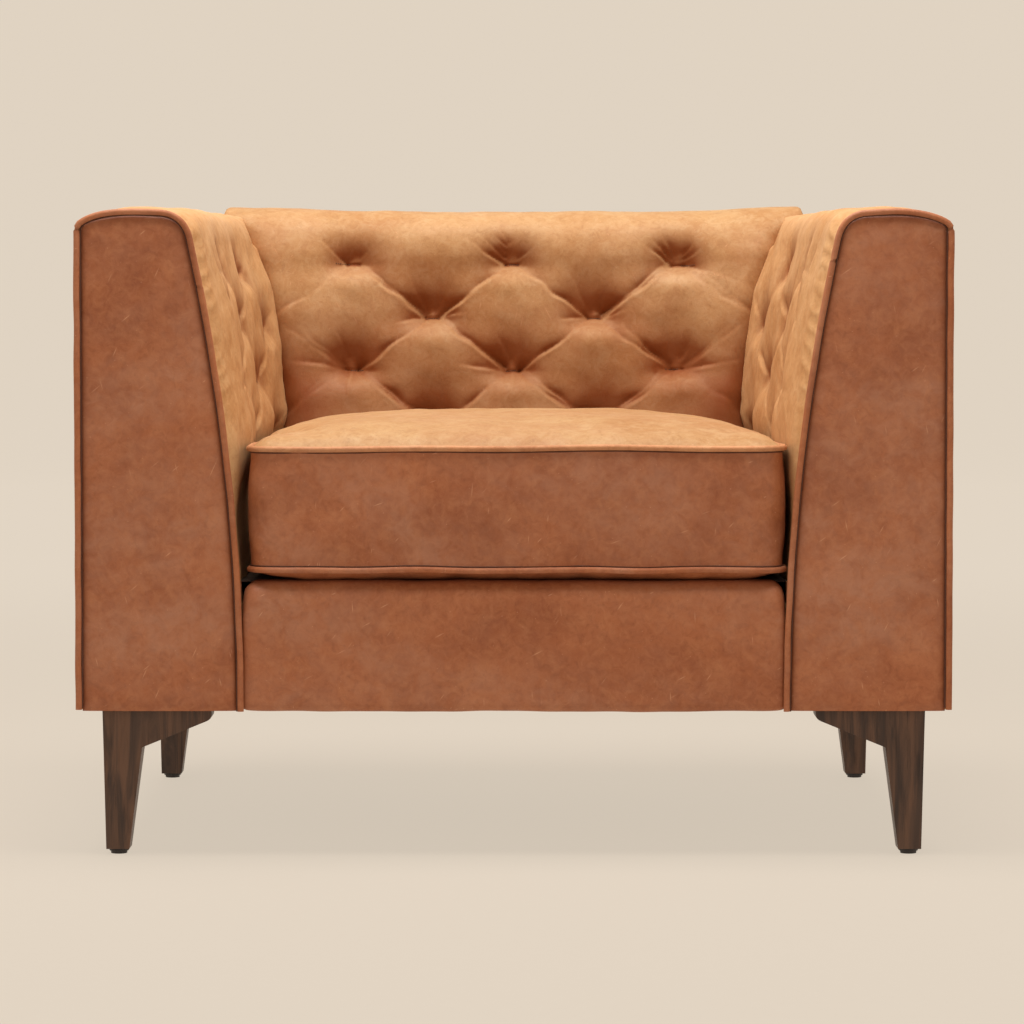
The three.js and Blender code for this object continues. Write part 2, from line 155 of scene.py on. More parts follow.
def round_off(near, radius):
    """How far an edge of the given radius drops, where near goes from 0 to 1 towards the edge."""
    return radius - np.sqrt(np.maximum(radius ** 2 - (near * radius) ** 2, 0))


# ---------- meshes ----------

def mesh(name, points, faces, material, sharp=55, facing=True):
    """A closed smooth-shaded mesh from points in millimetres, with its faces turned outwards."""
    data = bpy.data.meshes.new(name)
    data.from_pydata((np.asarray(points) * MM).tolist(), [], faces)
    if facing:
        work = bmesh.new()
        work.from_mesh(data)
        bmesh.ops.recalc_face_normals(work, faces=work.faces)
        work.to_mesh(data)
        work.free()
    data.shade_smooth()
    data.set_sharp_from_angle(angle=math.radians(sharp))
    obj = bpy.data.objects.new(name, data)
    bpy.context.scene.collection.objects.link(obj)
    obj.data.materials.append(material)
    return obj


def grid_faces(rows, cols, first=0, flip=False):
    i, j = np.meshgrid(np.arange(rows - 1), np.arange(cols - 1), indexing="ij")
    a = (first + i * cols + j).ravel()
    quads = np.stack([a, a + 1, a + cols + 1, a + cols], 1)
    return (quads[:, ::-1] if flip else quads).tolist()


def ring_faces(rings, sides, closed=False):
    """Quads between rings of points, with the last ring joined to the first where closed."""
    faces = []
    for i in range(rings if closed else rings - 1):
        k = (i + 1) % rings
        for j in range(sides):
            m = (j + 1) % sides
            faces.append([i * sides + j, i * sides + m, k * sides + m, k * sides + j])
    return faces


def end_faces(rings, sides):
    return [list(range(sides)), [(rings - 1) * sides + j for j in range(sides)]]


def rim(rows, cols):
    """The border of a grid as one loop of indices."""
    top = list(range(cols))
    right = [r * cols + cols - 1 for r in range(1, rows)]
    bottom = [(rows - 1) * cols + c for c in range(cols - 2, -1, -1)]
    left = [r * cols for r in range(rows - 2, 0, -1)]
    return top + right + bottom + left


def slab(name, front, back, material, painted_shade=None):
    """A closed piece between two grids of one shape. The last argument says how much painted shade each
    point gets, for creases, pits and corners.
    """
    rows, cols = front.shape[:2]
    count = rows * cols
    points = np.concatenate([front.reshape(-1, 3), back.reshape(-1, 3)])
    faces = grid_faces(rows, cols) + grid_faces(rows, cols, count, True)
    loop = rim(rows, cols)
    for a, b in zip(loop, loop[1:] + loop[:1]):
        faces.append([b, a, a + count, b + count])
    obj = mesh(name, points, faces, material)
    mark = np.zeros(2 * count, np.float32)
    if painted_shade is not None:
        mark[:count] = np.clip(painted_shade, 0, 1).ravel()
    obj.data.attributes.new("painted_shade", "FLOAT", "POINT").data.foreach_set("value", mark)
    return obj


def tube(name, line, radius, material, closed=False, sides=10, uneven=0.0, seed=0):
    """A round bead along a line of points in millimetres."""
    line = np.asarray(line, float)
    count = len(line)
    if closed:
        along = np.roll(line, -1, 0) - np.roll(line, 1, 0)
    else:
        along = np.gradient(line, axis=0)
    along /= np.linalg.norm(along, axis=1)[:, None]
    side = np.cross(along, np.array([0.0, 0.0, 1.0]))
    weak = np.linalg.norm(side, axis=1) < 0.2
    side[weak] = np.cross(along[weak], np.array([0.0, 1.0, 0.0]))
    side /= np.linalg.norm(side, axis=1)[:, None]
    for i in range(1, count):
        if side[i] @ side[i - 1] < 0:
            side[i] *= -1
    up = np.cross(side, along)
    turn = np.linspace(0, 2 * math.pi, sides, endpoint=False)
    place = np.arange(count)
    girth = radius * (1 + uneven * ripple(place * 3.0, place * 0.0, 40, seed))
    ring = side[:, None] * np.cos(turn)[None, :, None] + up[:, None] * np.sin(turn)[None, :, None]
    points = line[:, None] + ring * girth[:, None, None]
    faces = ring_faces(count, sides, closed)
    if not closed:
        faces += end_faces(count, sides)
    return mesh(name, points.reshape(-1, 3), faces, material, 80)


def many(name, places, shape, faces, material, sharp=40):
    """One mesh of many copies of a small shape. Each place is (origin, 3 axes as rows)."""
    points, all_faces = [], []
    for origin, axes in places:
        first = len(points) * len(shape)
        points.append(np.asarray(origin) + np.asarray(shape) @ np.asarray(axes))
        all_faces += [[first + i for i in f] for f in faces]
    return mesh(name, np.concatenate(points), all_faces, material, sharp)


def lozenge(long, wide, high, rings=5, sides=8):
    """A small rounded stitch lying along its first axis."""
    points = []
    for i in range(rings):
        t = -1 + 2 * i / (rings - 1)
        r = math.sqrt(max(1 - (0.94 * t) ** 2, 0.02))
        for j in range(sides):
            a = 2 * math.pi * j / sides
            points.append((t * long / 2, r * math.cos(a) * wide / 2, r * math.sin(a) * high / 2))
    return points, ring_faces(rings, sides) + end_faces(rings, sides)


def sunk(height):
    """Each height lowered to the least around it, so that padding stays under the cover's creases."""
    reach = 5
    wide = np.pad(height, reach, mode="edge")
    rows, cols = height.shape
    least = height.copy()
    for i in range(2 * reach + 1):
        for j in range(2 * reach + 1):
            least = np.minimum(least, wide[i:i + rows, j:j + cols])
    return least


def attach(obj, body):
    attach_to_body(obj, body)


def dress(obj, body, slot, *stands_for):
    """Joins a piece to its body, in place of the CAD nodes that it stands for."""
    attach(obj, body)
    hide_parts(*stands_for)
    return obj


# ---------- materials ----------

def srgb(r, g, b):
    def linear(c):
        c /= 255
        return c / 12.92 if c <= 0.04045 else ((c + 0.055) / 1.055) ** 2.4
    return (linear(r), linear(g), linear(b), 1.0)


class Look:
    """A material's node tree, with short ways to add what the looks below share."""

    def __init__(self, name, roughness, metallic=0.0):
        self.material = bpy.data.materials.new(name)
        self.material.use_nodes = True
        self.tree = self.material.node_tree
        self.shader = self.tree.nodes["Principled BSDF"]
        self.shader.inputs["Roughness"].default_value = roughness
        self.shader.inputs["Metallic"].default_value = metallic
        self.place = self.add("ShaderNodeTexCoord").outputs["Object"]

    def add(self, kind, values=None, **settings):
        node = self.tree.nodes.new(kind)
        for key, value in settings.items():
            setattr(node, key, value)
        for key, value in (values or {}).items():
            self.feed(node.inputs[key], value)
        return node

    def feed(self, socket, value):
        """Gives a socket its value: a link from another node's socket, or a constant."""
        if isinstance(value, bpy.types.NodeSocket):
            self.tree.links.new(value, socket)
        else:
            socket.default_value = value

    def set(self, name, value):
        self.feed(self.shader.inputs[name], value)

    def spread(self, scale, shift=(0, 0, 0)):
        values = {"Vector": self.place, "Scale": scale, "Location": shift}
        return self.add("ShaderNodeMapping", values).outputs["Vector"]

    def stretched(self, across, along, turn):
        """Coordinates much finer across than along one direction, which turn sets."""
        values = {"Vector": self.place, "Scale": (1 / across, 1 / across, 1 / along), "Rotation": turn}
        return self.add("ShaderNodeMapping", values, vector_type="TEXTURE").outputs["Vector"]

    def noise(self, scale, detail, rough=0.55, warp=0.0, at=None):
        values = {"Vector": at or self.place, "Scale": scale, "Detail": detail,
                  "Roughness": rough, "Distortion": warp}
        return self.add("ShaderNodeTexNoise", values).outputs["Fac"]

    def cells(self, scale, at=None):
        values = {"Vector": at or self.place, "Scale": scale}
        return self.add("ShaderNodeTexVoronoi", values, feature="F1").outputs["Distance"]

    def span(self, value, low, high, to_low=0.0, to_high=1.0):
        values = {"Value": value, "From Min": low, "From Max": high, "To Min": to_low, "To Max": to_high}
        node = self.add("ShaderNodeMapRange", values, interpolation_type="SMOOTHSTEP")
        return node.outputs["Result"]

    def math(self, operation, a, b):
        return self.add("ShaderNodeMath", {0: a, 1: b}, operation=operation).outputs["Value"]

    def mix(self, share, a, b):
        """Colour a turning into colour b with share. Inputs 0, 6, 7 and output 2 are the colour ones."""
        return self.add("ShaderNodeMix", {0: share, 6: a, 7: b}, data_type="RGBA").outputs[2]

    def colour(self, value):
        self.set("Base Color", value)

    def bump(self, *layers):
        """Layers of (height, strength, depth in millimetres), coarse first."""
        normal = None
        for height, strength, depth in layers:
            values = {"Height": height, "Strength": strength, "Distance": depth * MM}
            if normal is not None:
                values["Normal"] = normal
            normal = self.add("ShaderNodeBump", values).outputs["Normal"]
        self.set("Normal", normal)
        return self.material


def leather(name, seed, palette, wax_haze_and_sheen, gloss):
    """Waxed leather: clouded tan, with painted shade in deep russet where the mesh's attribute asks for it,
    a pale wax bloom that also paints the sheen of light on the wax, scratches and a fine grain.
    """
    look = Look(name, 0.5)
    shift = (seed * 1.37, seed * 2.11, seed * 0.73)
    hide = look.spread((1, 1, 1), shift)
    deep, tan, pale, dark = (srgb(*c) for c in palette)
    clouds = look.noise(8.0, 4.0, 0.66, 0.4, hide)
    colour = look.mix(look.span(clouds, 0.28, 0.66), deep, tan)
    colour = look.mix(look.span(look.noise(24.0, 4.0, 0.7, 0.6, hide), 0.46, 0.82, 0.0, 0.45), colour, pale)
    mottle = look.noise(78.0, 5.0, 0.72, 0.9, hide)
    colour = look.mix(look.span(mottle, 0.44, 0.7, 0.0, 0.3), colour, pale)
    colour = look.mix(look.span(mottle, 0.3, 0.5, 0.3, 0.0), colour, dark)
    specks = look.noise(210.0, 3.0, 0.65, 0.0, hide)
    colour = look.mix(look.span(specks, 0.5, 0.78, 0.0, 0.32), colour, dark)
    # The pale wax bloom is partly the wax's own colour and partly painted sheen: each piece's amount is set
    # to pale the look of light on the wax.
    wax = look.noise(6.0, 4.0, 0.62, 0.5, look.stretched(1.3, 0.3, (0.3, 0.5 + 0.2 * seed, 0.2)))
    patchy = look.noise(38.0, 3.0, 0.7, 0.6, hide)
    wax_and_sheen = look.span(wax, 0.3, 0.82, 0.1 * wax_haze_and_sheen, wax_haze_and_sheen)
    wax_and_sheen = look.math("MULTIPLY", wax_and_sheen, look.span(patchy, 0.3, 0.68, 0.55, 1.3))
    colour = look.mix(wax_and_sheen, colour, srgb(184, 134, 108))
    scratch = None
    for k, turn in enumerate(((0.1, 0.6, 0.0), (0.0, 0.15, 0.2), (0.1, 2.6, 0.0), (1.2, 0.1, 0.3))):
        at = look.stretched(88 + 6 * k, 6.0 - 0.7 * k, (turn[0], turn[1] + 0.07 * seed, turn[2]))
        line = look.span(look.cells(1.0, at=at), 0.0, 0.085, 1.0, 0.0)
        scratch = line if scratch is None else look.math("MAXIMUM", scratch, line)
    colour = look.mix(look.math("MULTIPLY", scratch, 0.42), colour, srgb(226, 172, 134))
    # Painted shade: deep russet mixed in as the mesh's attribute asks, high in creases, pits, slots and
    # corners and where the surface faces down away from the light.
    painted_shade = look.add("ShaderNodeAttribute", attribute_name="painted_shade").outputs["Fac"]
    colour = look.mix(look.math("MULTIPLY", painted_shade, 0.85), colour, srgb(112, 44, 4))
    look.colour(colour)
    dull = look.span(clouds, 0.3, 0.7, 0.62, 0.52)
    look.set("Roughness", look.math("SUBTRACT", dull, look.math("MULTIPLY", wax_and_sheen, 0.2)))
    look.set("Specular IOR Level", gloss)
    look.set("Sheen Weight", 0.03)
    look.set("Sheen Roughness", 0.45)
    look.set("Sheen Tint", srgb(255, 214, 170))
    grain = look.cells(560.0, at=hide)
    creasing = look.noise(90.0, 4.0, 0.64, 1.6, hide)
    broad = look.noise(24.0, 3.0, 0.5, 0.8, hide)
    return look.bump((broad, 0.28, 1.6), (creasing, 0.32, 0.7), (grain, 0.3, 0.22))


def walnut(name, seed):
    """Dark oiled walnut with its grain running down the leg."""
    look = Look(name, 0.42)
    shift = (seed * 0.9, seed * 1.7, seed * 0.4)
    run = look.spread((1.0, 1.0, 0.09), shift)
    bands = look.noise(62.0, 6.0, 0.6, 1.1, run)
    pores = look.noise(420.0, 3.0, 0.5, 0.2, look.spread((1.0, 1.0, 0.03), shift))
    colour = look.mix(look.span(bands, 0.33, 0.68), srgb(46, 29, 21), srgb(100, 68, 48))
    colour = look.mix(look.span(pores, 0.56, 0.72, 0.0, 0.6), colour, srgb(36, 22, 16))
    broad = look.noise(11.0, 3.0, 0.5, 0.3, look.spread((1.0, 1.0, 0.3), shift))
    look.colour(look.mix(look.span(broad, 0.4, 0.7, 0.0, 0.35), colour, srgb(110, 78, 57)))
    look.set("Roughness", look.span(pores, 0.4, 0.7, 0.38, 0.6))
    look.set("Specular IOR Level", 0.45)
    return look.bump((bands, 0.12, 0.5), (pores, 0.3, 0.15))


def timber(name):
    """Pale sawn hardwood for the frame."""
    look = Look(name, 0.75)
    run = look.spread((0.12, 1.0, 1.0))
    bands = look.noise(48.0, 5.0, 0.6, 0.9, run)
    saw = look.noise(300.0, 2.0, 0.5, 0.0, look.spread((1.0, 0.2, 0.2)))
    colour = look.mix(look.span(bands, 0.35, 0.65), srgb(176, 134, 86), srgb(214, 178, 128))
    look.colour(look.mix(look.span(saw, 0.5, 0.8, 0.0, 0.25), colour, srgb(146, 104, 62)))
    return look.bump((saw, 0.4, 0.4), (bands, 0.2, 0.5))


def steel(name, dark, light, gloss):
    """Drawn or cast metal with faint streaks and darker patches."""
    look = Look(name, gloss, 1.0)
    streaks = look.noise(260.0, 3.0, 0.5, 0.0, look.spread((0.2, 1.0, 1.0)))
    patch = look.noise(30.0, 4.0, 0.6)
    look.colour(look.mix(look.span(patch, 0.35, 0.7), dark, light))
    look.set("Roughness", look.span(streaks, 0.3, 0.7, gloss - 0.08, gloss + 0.14))
    return look.bump((streaks, 0.2, 0.1))


def weave(name, dark, light, threads):
    """A plain weave with the given number of threads to the metre along X, Y and Z."""
    look = Look(name, 0.9)
    heights = []
    for direction in ("X", "Y", "Z"):
        values = {"Vector": look.place, "Scale": threads * 0.05, "Distortion": 0.4,
                  "Detail": 1.0, "Detail Scale": 4.0}
        wave = look.add("ShaderNodeTexWave", values, bands_direction=direction, wave_profile="SIN")
        heights.append(wave.outputs["Fac"])
    over = look.math("MULTIPLY", look.math("ADD", heights[0], heights[2]), heights[1])
    wear = look.noise(40.0, 4.0, 0.6)
    colour = look.mix(look.span(over, 0.1, 1.2), dark, light)
    look.colour(look.mix(look.span(wear, 0.5, 0.8, 0.0, 0.4), colour, light))
    look.set("Sheen Weight", 0.25)
    return look.bump((wear, 0.2, 0.6), (over, 0.5, 0.35))


def foam(name):
    """Cream upholstery foam with open pores."""
    look = Look(name, 0.95)
    pores = look.cells(650.0)
    stain = look.noise(9.0, 4.0, 0.6)
    colour = look.mix(look.span(stain, 0.4, 0.7), srgb(232, 219, 178), srgb(240, 232, 204))
    look.colour(look.mix(look.span(pores, 0.2, 0.6, 0.35, 0.0), colour, srgb(186, 166, 118)))
    return look.bump((stain, 0.2, 1.0), (pores, 0.6, 0.4))


def felt(name):
    """Black non-woven dust cloth: pressed fibres with a dimpled pattern."""
    look = Look(name, 0.95)
    fibres = look.noise(900.0, 3.0, 0.7, 1.5)
    dimples = look.cells(420.0)
    colour = look.mix(look.span(fibres, 0.35, 0.7), srgb(24, 22, 21), srgb(58, 54, 51))
    look.colour(look.mix(look.span(dimples, 0.15, 0.4, 0.4, 0.0), colour, srgb(14, 13, 12)))
    look.set("Sheen Weight", 0.2)
    return look.bump((dimples, 0.4, 0.25), (fibres, 0.4, 0.15))


def plastic(name):
    """Dark moulded plastic, scuffed where it meets the floor."""
    look = Look(name, 0.5)
    scuff = look.noise(210.0, 4.0, 0.7, 0.8)
    texture = look.noise(1500.0, 2.0, 0.5)
    look.colour(look.mix(look.span(scuff, 0.55, 0.75, 0.0, 0.7), srgb(34, 25, 21), srgb(88, 72, 62)))
    look.set("Roughness", look.span(scuff, 0.4, 0.7, 0.42, 0.7))
    return look.bump((texture, 0.3, 0.08))


def thread(name, colour):
    look = Look(name, 0.7)
    twist = look.noise(1400.0, 2.0, 0.5)
    look.colour(look.mix(look.span(twist, 0.35, 0.7), colour, srgb(70, 44, 28)))
    return look.bump((twist, 0.4, 0.08))


# Lit and shaded copies of one leather: the golden, amber and pale palettes are lighter, painting the light
# on surfaces that face up and inwards; the russet one is darker, painting the shade on upright front faces
# and undersides.
LIT_GOLDEN = ((168, 121, 77), (181, 140, 96), (198, 167, 128), (138, 95, 59))
LIT_AMBER = ((188, 136, 87), (203, 156, 108), (220, 183, 139), (157, 107, 68))
SHADED_RUSSET = ((146, 80, 47), (168, 97, 58), (192, 126, 84), (114, 58, 32))
TAN = ((160, 93, 54), (184, 114, 70), (208, 146, 100), (124, 70, 40))
LIT_PALE = ((176, 116, 76), (200, 138, 94), (216, 166, 122), (140, 86, 54))
# Each piece takes a lit or shaded palette: lighter on the back, inside arms, cushion top and its top welt,
# darker russet on the arm fronts and their piping, the rail, boxing and cushion bottom.
LEATHERS = {
    name: leather("leather_" + name, seed, palette, wax_haze_and_sheen, gloss)
    for name, seed, palette, wax_haze_and_sheen, gloss in (
        ("back", 1, LIT_GOLDEN, 0.18, 0.12),
        ("arm_left", 2, LIT_AMBER, 0.10, 0.14), ("arm_right", 3, LIT_AMBER, 0.10, 0.14),
        ("facing_left", 4, SHADED_RUSSET, 0.60, 0.32), ("facing_right", 5, SHADED_RUSSET, 0.60, 0.32),
        ("arm_welt", 12, SHADED_RUSSET, 0.45, 0.25), ("welt", 6, LIT_PALE, 0.30, 0.2), ("rail", 7, SHADED_RUSSET, 0.44, 0.3),
        ("cushion_top", 8, LIT_GOLDEN, 0.26, 0.14), ("boxing", 9, SHADED_RUSSET, 0.48, 0.3),
        ("outside", 10, TAN, 0.35, 0.3), ("bottom", 11, SHADED_RUSSET, 0.15, 0.2),
    )
}
FOAM = foam("upholstery_foam")
THREAD = thread("tuft_thread", srgb(62, 42, 32))
# Dark thread for the beads along the seams, which stand for the stitching and paint the shade in each
# seam's gap.
SEAM = thread("seam_shadow_thread", srgb(98, 50, 30))


# ---------- tufting ----------

def crease(u, v, start, end, depth, width, bow, keep):
    """A crease between two places, with a steep lower side that ends in a lip, and a gentle upper side.

    Bow is how far its middle lies off the straight line. Keep is the share of its depth at its far end.
    """
    if start[0] > end[0]:
        start, end, near, far, bow = end, start, keep, 1.0, -bow
    else:
        near, far = 1.0, keep
    run = math.hypot(end[0] - start[0], end[1] - start[1])
    ax, ay = (end[0] - start[0]) / run, (end[1] - start[1]) / run
    t = ((u - start[0]) * ax + (v - start[1]) * ay) / run
    q = (v - start[1]) * ax - (u - start[0]) * ay
    inside = np.clip(t, 0, 1)
    q = q - bow * 4 * inside * (1 - inside)
    past = (np.abs(t - inside) * run / (2.0 * width)) ** 2
    share = (near + (far - near) * smooth(inside, 0, 1)) * np.exp(-past)
    above = np.exp(-np.sqrt(np.maximum(q, 0) ** 2 + 0.6) / (3.2 * width))
    below = np.exp(-np.sqrt(np.maximum(-q, 0) ** 2 + 0.6) / (0.8 * width))
    lip = 0.15 * np.exp(-((q + 1.7 * width) / (1.0 * width)) ** 2)
    uneven = 0.75 + 0.35 * np.sin(inside * run / 9 + start[0])
    return share * depth * uneven * (lip - np.where(q > 0, above, below))


def tufted(u, v, tufts, folds, pit, reach, seed):
    """Heights of a padded panel pulled in at its tufts, and how much painted shade each place gets."""
    low = np.zeros_like(u)
    near = np.zeros_like(u)
    for a, b, share in tufts:
        side = 0.85 * np.maximum(np.abs(u - a) - SLOT, 0)
        rise = (v - b) * np.where(v > b, 0.45, 1.3)
        d = np.sqrt(side ** 2 + rise ** 2 + 16) - 4
        near = np.maximum(near, np.exp(-d / 9))
        low -= share * pit * np.exp(-d / reach)
        low += share * 0.2 * pit * np.exp(-((u - a) / 27) ** 2 - ((v - b + 26) / 19) ** 2)
        low -= share * 1.6 * np.exp(-((v - b) / 1.6) ** 2) * (1 - smooth(np.abs(u - a), SLOT, SLOT + 3))
    loose = 2.2 * (1 - near)
    plain_u, plain_v = u, v
    u = u + loose * ripple(u, v, 46, seed)
    v = v + loose * ripple(u, v, 40, seed + 1)
    creased = np.zeros_like(u)
    for start, end, depth, width, bow, keep in folds:
        creased += crease(u, v, start, end, depth, width, bow, keep)
    height = low + creased
    facing_down = np.gradient(height, axis=0) / np.gradient(v, axis=0).clip(0.5)
    # Painted shade: darker in the creases, round the pits and along the slots, less where the surface faces
    # up to the light and more where it faces down.
    mark = np.clip(-creased / 5.0, 0, 1) * 0.55 + smooth(-low, 0.35 * pit, 1.05 * pit) * 0.7
    mark *= 1 - 0.5 * smooth(-facing_down, 0.05, 0.45)
    slot = np.zeros_like(u)
    for a, b, _ in tufts:
        ends = 1 - smooth(np.abs(plain_u - a), SLOT, SLOT + 2)
        slot = np.maximum(slot, np.exp(-((plain_v - b) / 1.8) ** 2) * ends)
    return height, mark + 0.42 * smooth(facing_down, 0.0, 0.8) + slot


def fan(rng, a, b, *pleats):
    """Pleats that leave a tuft, each with an angle in degrees, a length, a depth and its start's height."""
    made = []
    for angle, run, depth, up in pleats:
        turn = math.radians(angle + rng.uniform(-2, 2))
        across = np.clip(1.6 * math.cos(turn), -1, 1) * (SLOT + 1)
        start = (a + across, b + up + 1.5 * math.sin(turn))
        end = (start[0] + run * math.cos(turn), start[1] + run * math.sin(turn))
        made.append((start, end, depth, 1.7 + 0.008 * run, rng.uniform(-0.04, 0.04) * run, 0.0))
    return made


def diamond(rng, tufts, hidden, pitch, rise, faint, depth):
    """The folds from each tuft to its neighbours in the next row down, most of them doubled."""
    every = [(a, b, 1.0) for a, b, _ in tufts] + [(a, b, faint) for a, b in hidden]
    folds = []
    for a, b, s in every:
        for c, d, w in every:
            near = abs(b - d - rise) < rise * 0.35 and abs(abs(a - c) - pitch / 2) < pitch * 0.2
            if not near or s == w == faint:
                continue
            way = math.copysign(1, c - a)
            deep = depth * min(s, w) * rng.uniform(0.85, 1.15)
            low = (c - way * (SLOT + 1), d + 1.5)
            folds.append((low, (a + way * SLOT, b - 3), deep, 2.3, way * rng.uniform(0.0, 3.5), 0.3))
            part, off = rng.uniform(0.5, 0.9), rng.uniform(9, 14)
            if rng.uniform() < 0.35:
                continue
            second = (low[0] + (a - low[0]) * part, low[1] + (b - low[1]) * part + off)
            folds.append(((low[0] - way * 1, low[1] + 5), second, deep * 0.9, 2.2, way * 2.5, 0.3))
    return folds


# ---------- the arms' and the back's shapes ----------

def inner_x(z):
    return SEAT_HALF + 64 * np.clip((z - BODY_BASE) / (ARM_TOP - BODY_BASE), 0, 1) ** 2.1


def arm_line(foot, outer_foot):
    """The arm's outline in X and Z: up the inner face, over the top and down the outer side."""
    z = np.linspace(foot, SHOULDER, 90)
    line = [np.stack([inner_x(z), z], 1)]
    line.append(quadratic((inner_x(SHOULDER), SHOULDER), (372, ARM_TOP - 5), (398, ARM_TOP - 1.5), 14)[1:])
    line.append(np.array([[414, ARM_TOP - 0.6], [430, ARM_TOP]]))
    line.append(quadratic((430, ARM_TOP), (472, ARM_TOP), (HALF - 8, ARM_TOP - 12), 14)[1:])
    line.append(quadratic((HALF - 8, ARM_TOP - 12), (HALF, ARM_TOP - 16), (HALF, ARM_TOP - 26), 8)[1:])
    if outer_foot < ARM_TOP - 27:
        line.append(np.linspace((HALF, ARM_TOP - 26), (HALF, outer_foot), 60)[1:])
    return np.concatenate(line)


def swell(x, y, z):
    """How far the padding brings the arm's inside face in towards the seat, and lifts its top."""
    buried = np.maximum(x - inner_x(z), 0)
    back = smooth(y, FRONT + 5, FRONT + 150)
    full = back * (14 + 20 * smooth(y, -100, 190))
    flat = 1 - 0.3 * smooth(z, 640, SHOULDER)
    inward = full * smooth(z, 400, 500) * flat * np.maximum(1 - buried / 33, 0)
    lift = 6 * back * smooth(z, ARM_TOP - 33, ARM_TOP - 4) * (1 - 0.8 * smooth(y, 385, 421))
    squared = smooth(y, 150, 215) * smooth(z, SHOULDER + 1, SHOULDER + 12) * (x < 400)
    lift = lift + np.maximum(ARM_TOP - 1.5 - z, 0) * squared
    return inward, lift


def arm_face(y, z):
    """Where the inside arm's leather lies, before its tufts."""
    return inner_x(z) + 2 - swell(inner_x(z), y, z)[0]


def back_y(z):
    return 165 + 0.19 * (z - 490)


def back_line(foot, rear_foot):
    """The back's outline in Y and Z: up the raked inside, over the top and down behind."""
    z = np.linspace(foot, BACK_SHOULDER, 90)
    turn = (back_y(BACK_SHOULDER) + 75, BACK_TOP)
    line = [np.stack([back_y(z), z], 1)]
    shoulder, bend = (back_y(BACK_SHOULDER), BACK_SHOULDER), (back_y(BACK_TOP - 6), BACK_TOP - 4)
    line.append(quadratic(shoulder, bend, turn, 26)[1:])
    line.append(np.linspace(turn, (REAR - 55, BACK_TOP - 1), 14)[1:])
    line.append(quadratic((REAR - 55, BACK_TOP - 1), (REAR - 1, BACK_TOP - 2), (REAR, rear_foot), 22)[1:])
    return np.concatenate(line)


def cushion_half(y, sign):
    """How far the cushion's cover reaches to one side. It spreads in front, more to the right."""
    straight = (CUSHION_FRONT + 26, CUSHION_REAR - 26)
    taper = CUSHION_HALF - 16 * np.clip((y - straight[0]) / (straight[1] - straight[0]), 0, 1)
    return taper + (4.0 + 3.5 * sign) * (1 - smooth(y, -340, -80))


# ---------- the arms ----------

def arm_tufts():
    rows = [TUFT_TOP - 14 - TUFT_RISE * 0.98 * k for k in range(4)]
    first = -200.0
    tufts = []
    for k, z in enumerate(rows):
        shift = 0 if k % 2 == 0 else TUFT_PITCH / 2
        for j in range(3):
            y = first + shift + TUFT_PITCH * j
            if y < 190:
                tufts.append((y, z, 1.0))
    ahead, behind = first - TUFT_PITCH / 2, first + 2 * TUFT_PITCH
    hidden = [(ahead, rows[1]), (ahead, rows[3]), (behind, rows[0]), (behind, rows[2])]
    return tufts, hidden, rows


def arm_folds(rng, tufts, hidden, rows):
    """The inside arm's folds: from tuft to tuft, round each tuft, and long soft ones up to the top."""
    folds = diamond(rng, tufts, hidden, TUFT_PITCH, TUFT_RISE, 0.4, 3.8)
    for a, b, _ in tufts:
        folds += fan(rng, a, b, (170, 34, 2.4, 0), (12, 34, 2.4, 0), (112, 46, 1.8, 6))
        if b > rows[0] - 12:
            pleats = ((140, 70, 3.4, 0), (118, 52, 2.6, 8), (60, 48, 2.6, 6), (36, 60, 3.0, 0))
            folds += fan(rng, a, b, *pleats)
        if b < rows[3] + 12:
            folds += fan(rng, a, b, (-62, 80, 2.4, 0), (-88, 95, 2.8, -4), (-112, 80, 2.4, 0))
        if a < -150:
            folds += fan(rng, a, b, (184, 165, 3.6, 0))
    folds.append(((-212, rows[2] + 12), (-352, SHOULDER + 34), 5.0, 3.6, 16.0, 0.7))
    folds.append(((-206, rows[0] + 4), (-300, SHOULDER + 50), 4.0, 3.2, 9.0, 0.5))
    folds.append(((-106, rows[1] + 6), (-176, rows[0] + 52), 3.4, 3.0, -8.0, 0.2))
    return folds


def arm_height(u, v, h, rise, seed):
    """The inside arm's tufting, calm at its edges, with its padding, unevenness and front gathers."""
    seam = smooth(u, FRONT + 9, FRONT + 44)
    covered = smooth(u, 150, 215) * smooth(v, SHOULDER - 10, SHOULDER + 12)
    inside = seam * smooth(v, DECK_TOP + 60, DECK_TOP + 140) * (1 - smooth(v, SHOULDER + 18, SHOULDER + 55))
    h = h * (0.25 + 0.75 * seam) * smooth(v, DECK_TOP, DECK_TOP + 90)
    h = h * (1 - 0.92 * smooth(v, SHOULDER + 14, SHOULDER + 48))
    h += (8.5 + 4 * smooth(v, 500, 590) * smooth(u, -260, -60)) * inside
    h += (1.3 * ripple(u, v, 95, seed + 1) + 0.45 * ripple(u, v, 34, seed + 2)) * seam
    h *= 1 - covered
    gather = np.sin((v - 0.35 * u + 7 * ripple(u, v, 70, seed + 3)) * 2 * math.pi / 23)
    near = np.exp(-((u - FRONT - 26) / 15) ** 2) * smooth(v, DECK_TOP + 150, DECK_TOP + 250)
    h += 1.1 * np.maximum(gather, -0.2) * near - 1.6 * np.exp(-(u - FRONT - 9) / 5)
    h -= 1.3 * np.exp(-((u - FRONT - 21) / 2.0) ** 2) * smooth(v, DECK_TOP + 60, DECK_TOP + 160)
    return h - 2.0 * smooth(v, DECK_TOP + rise - 9, DECK_TOP + rise)


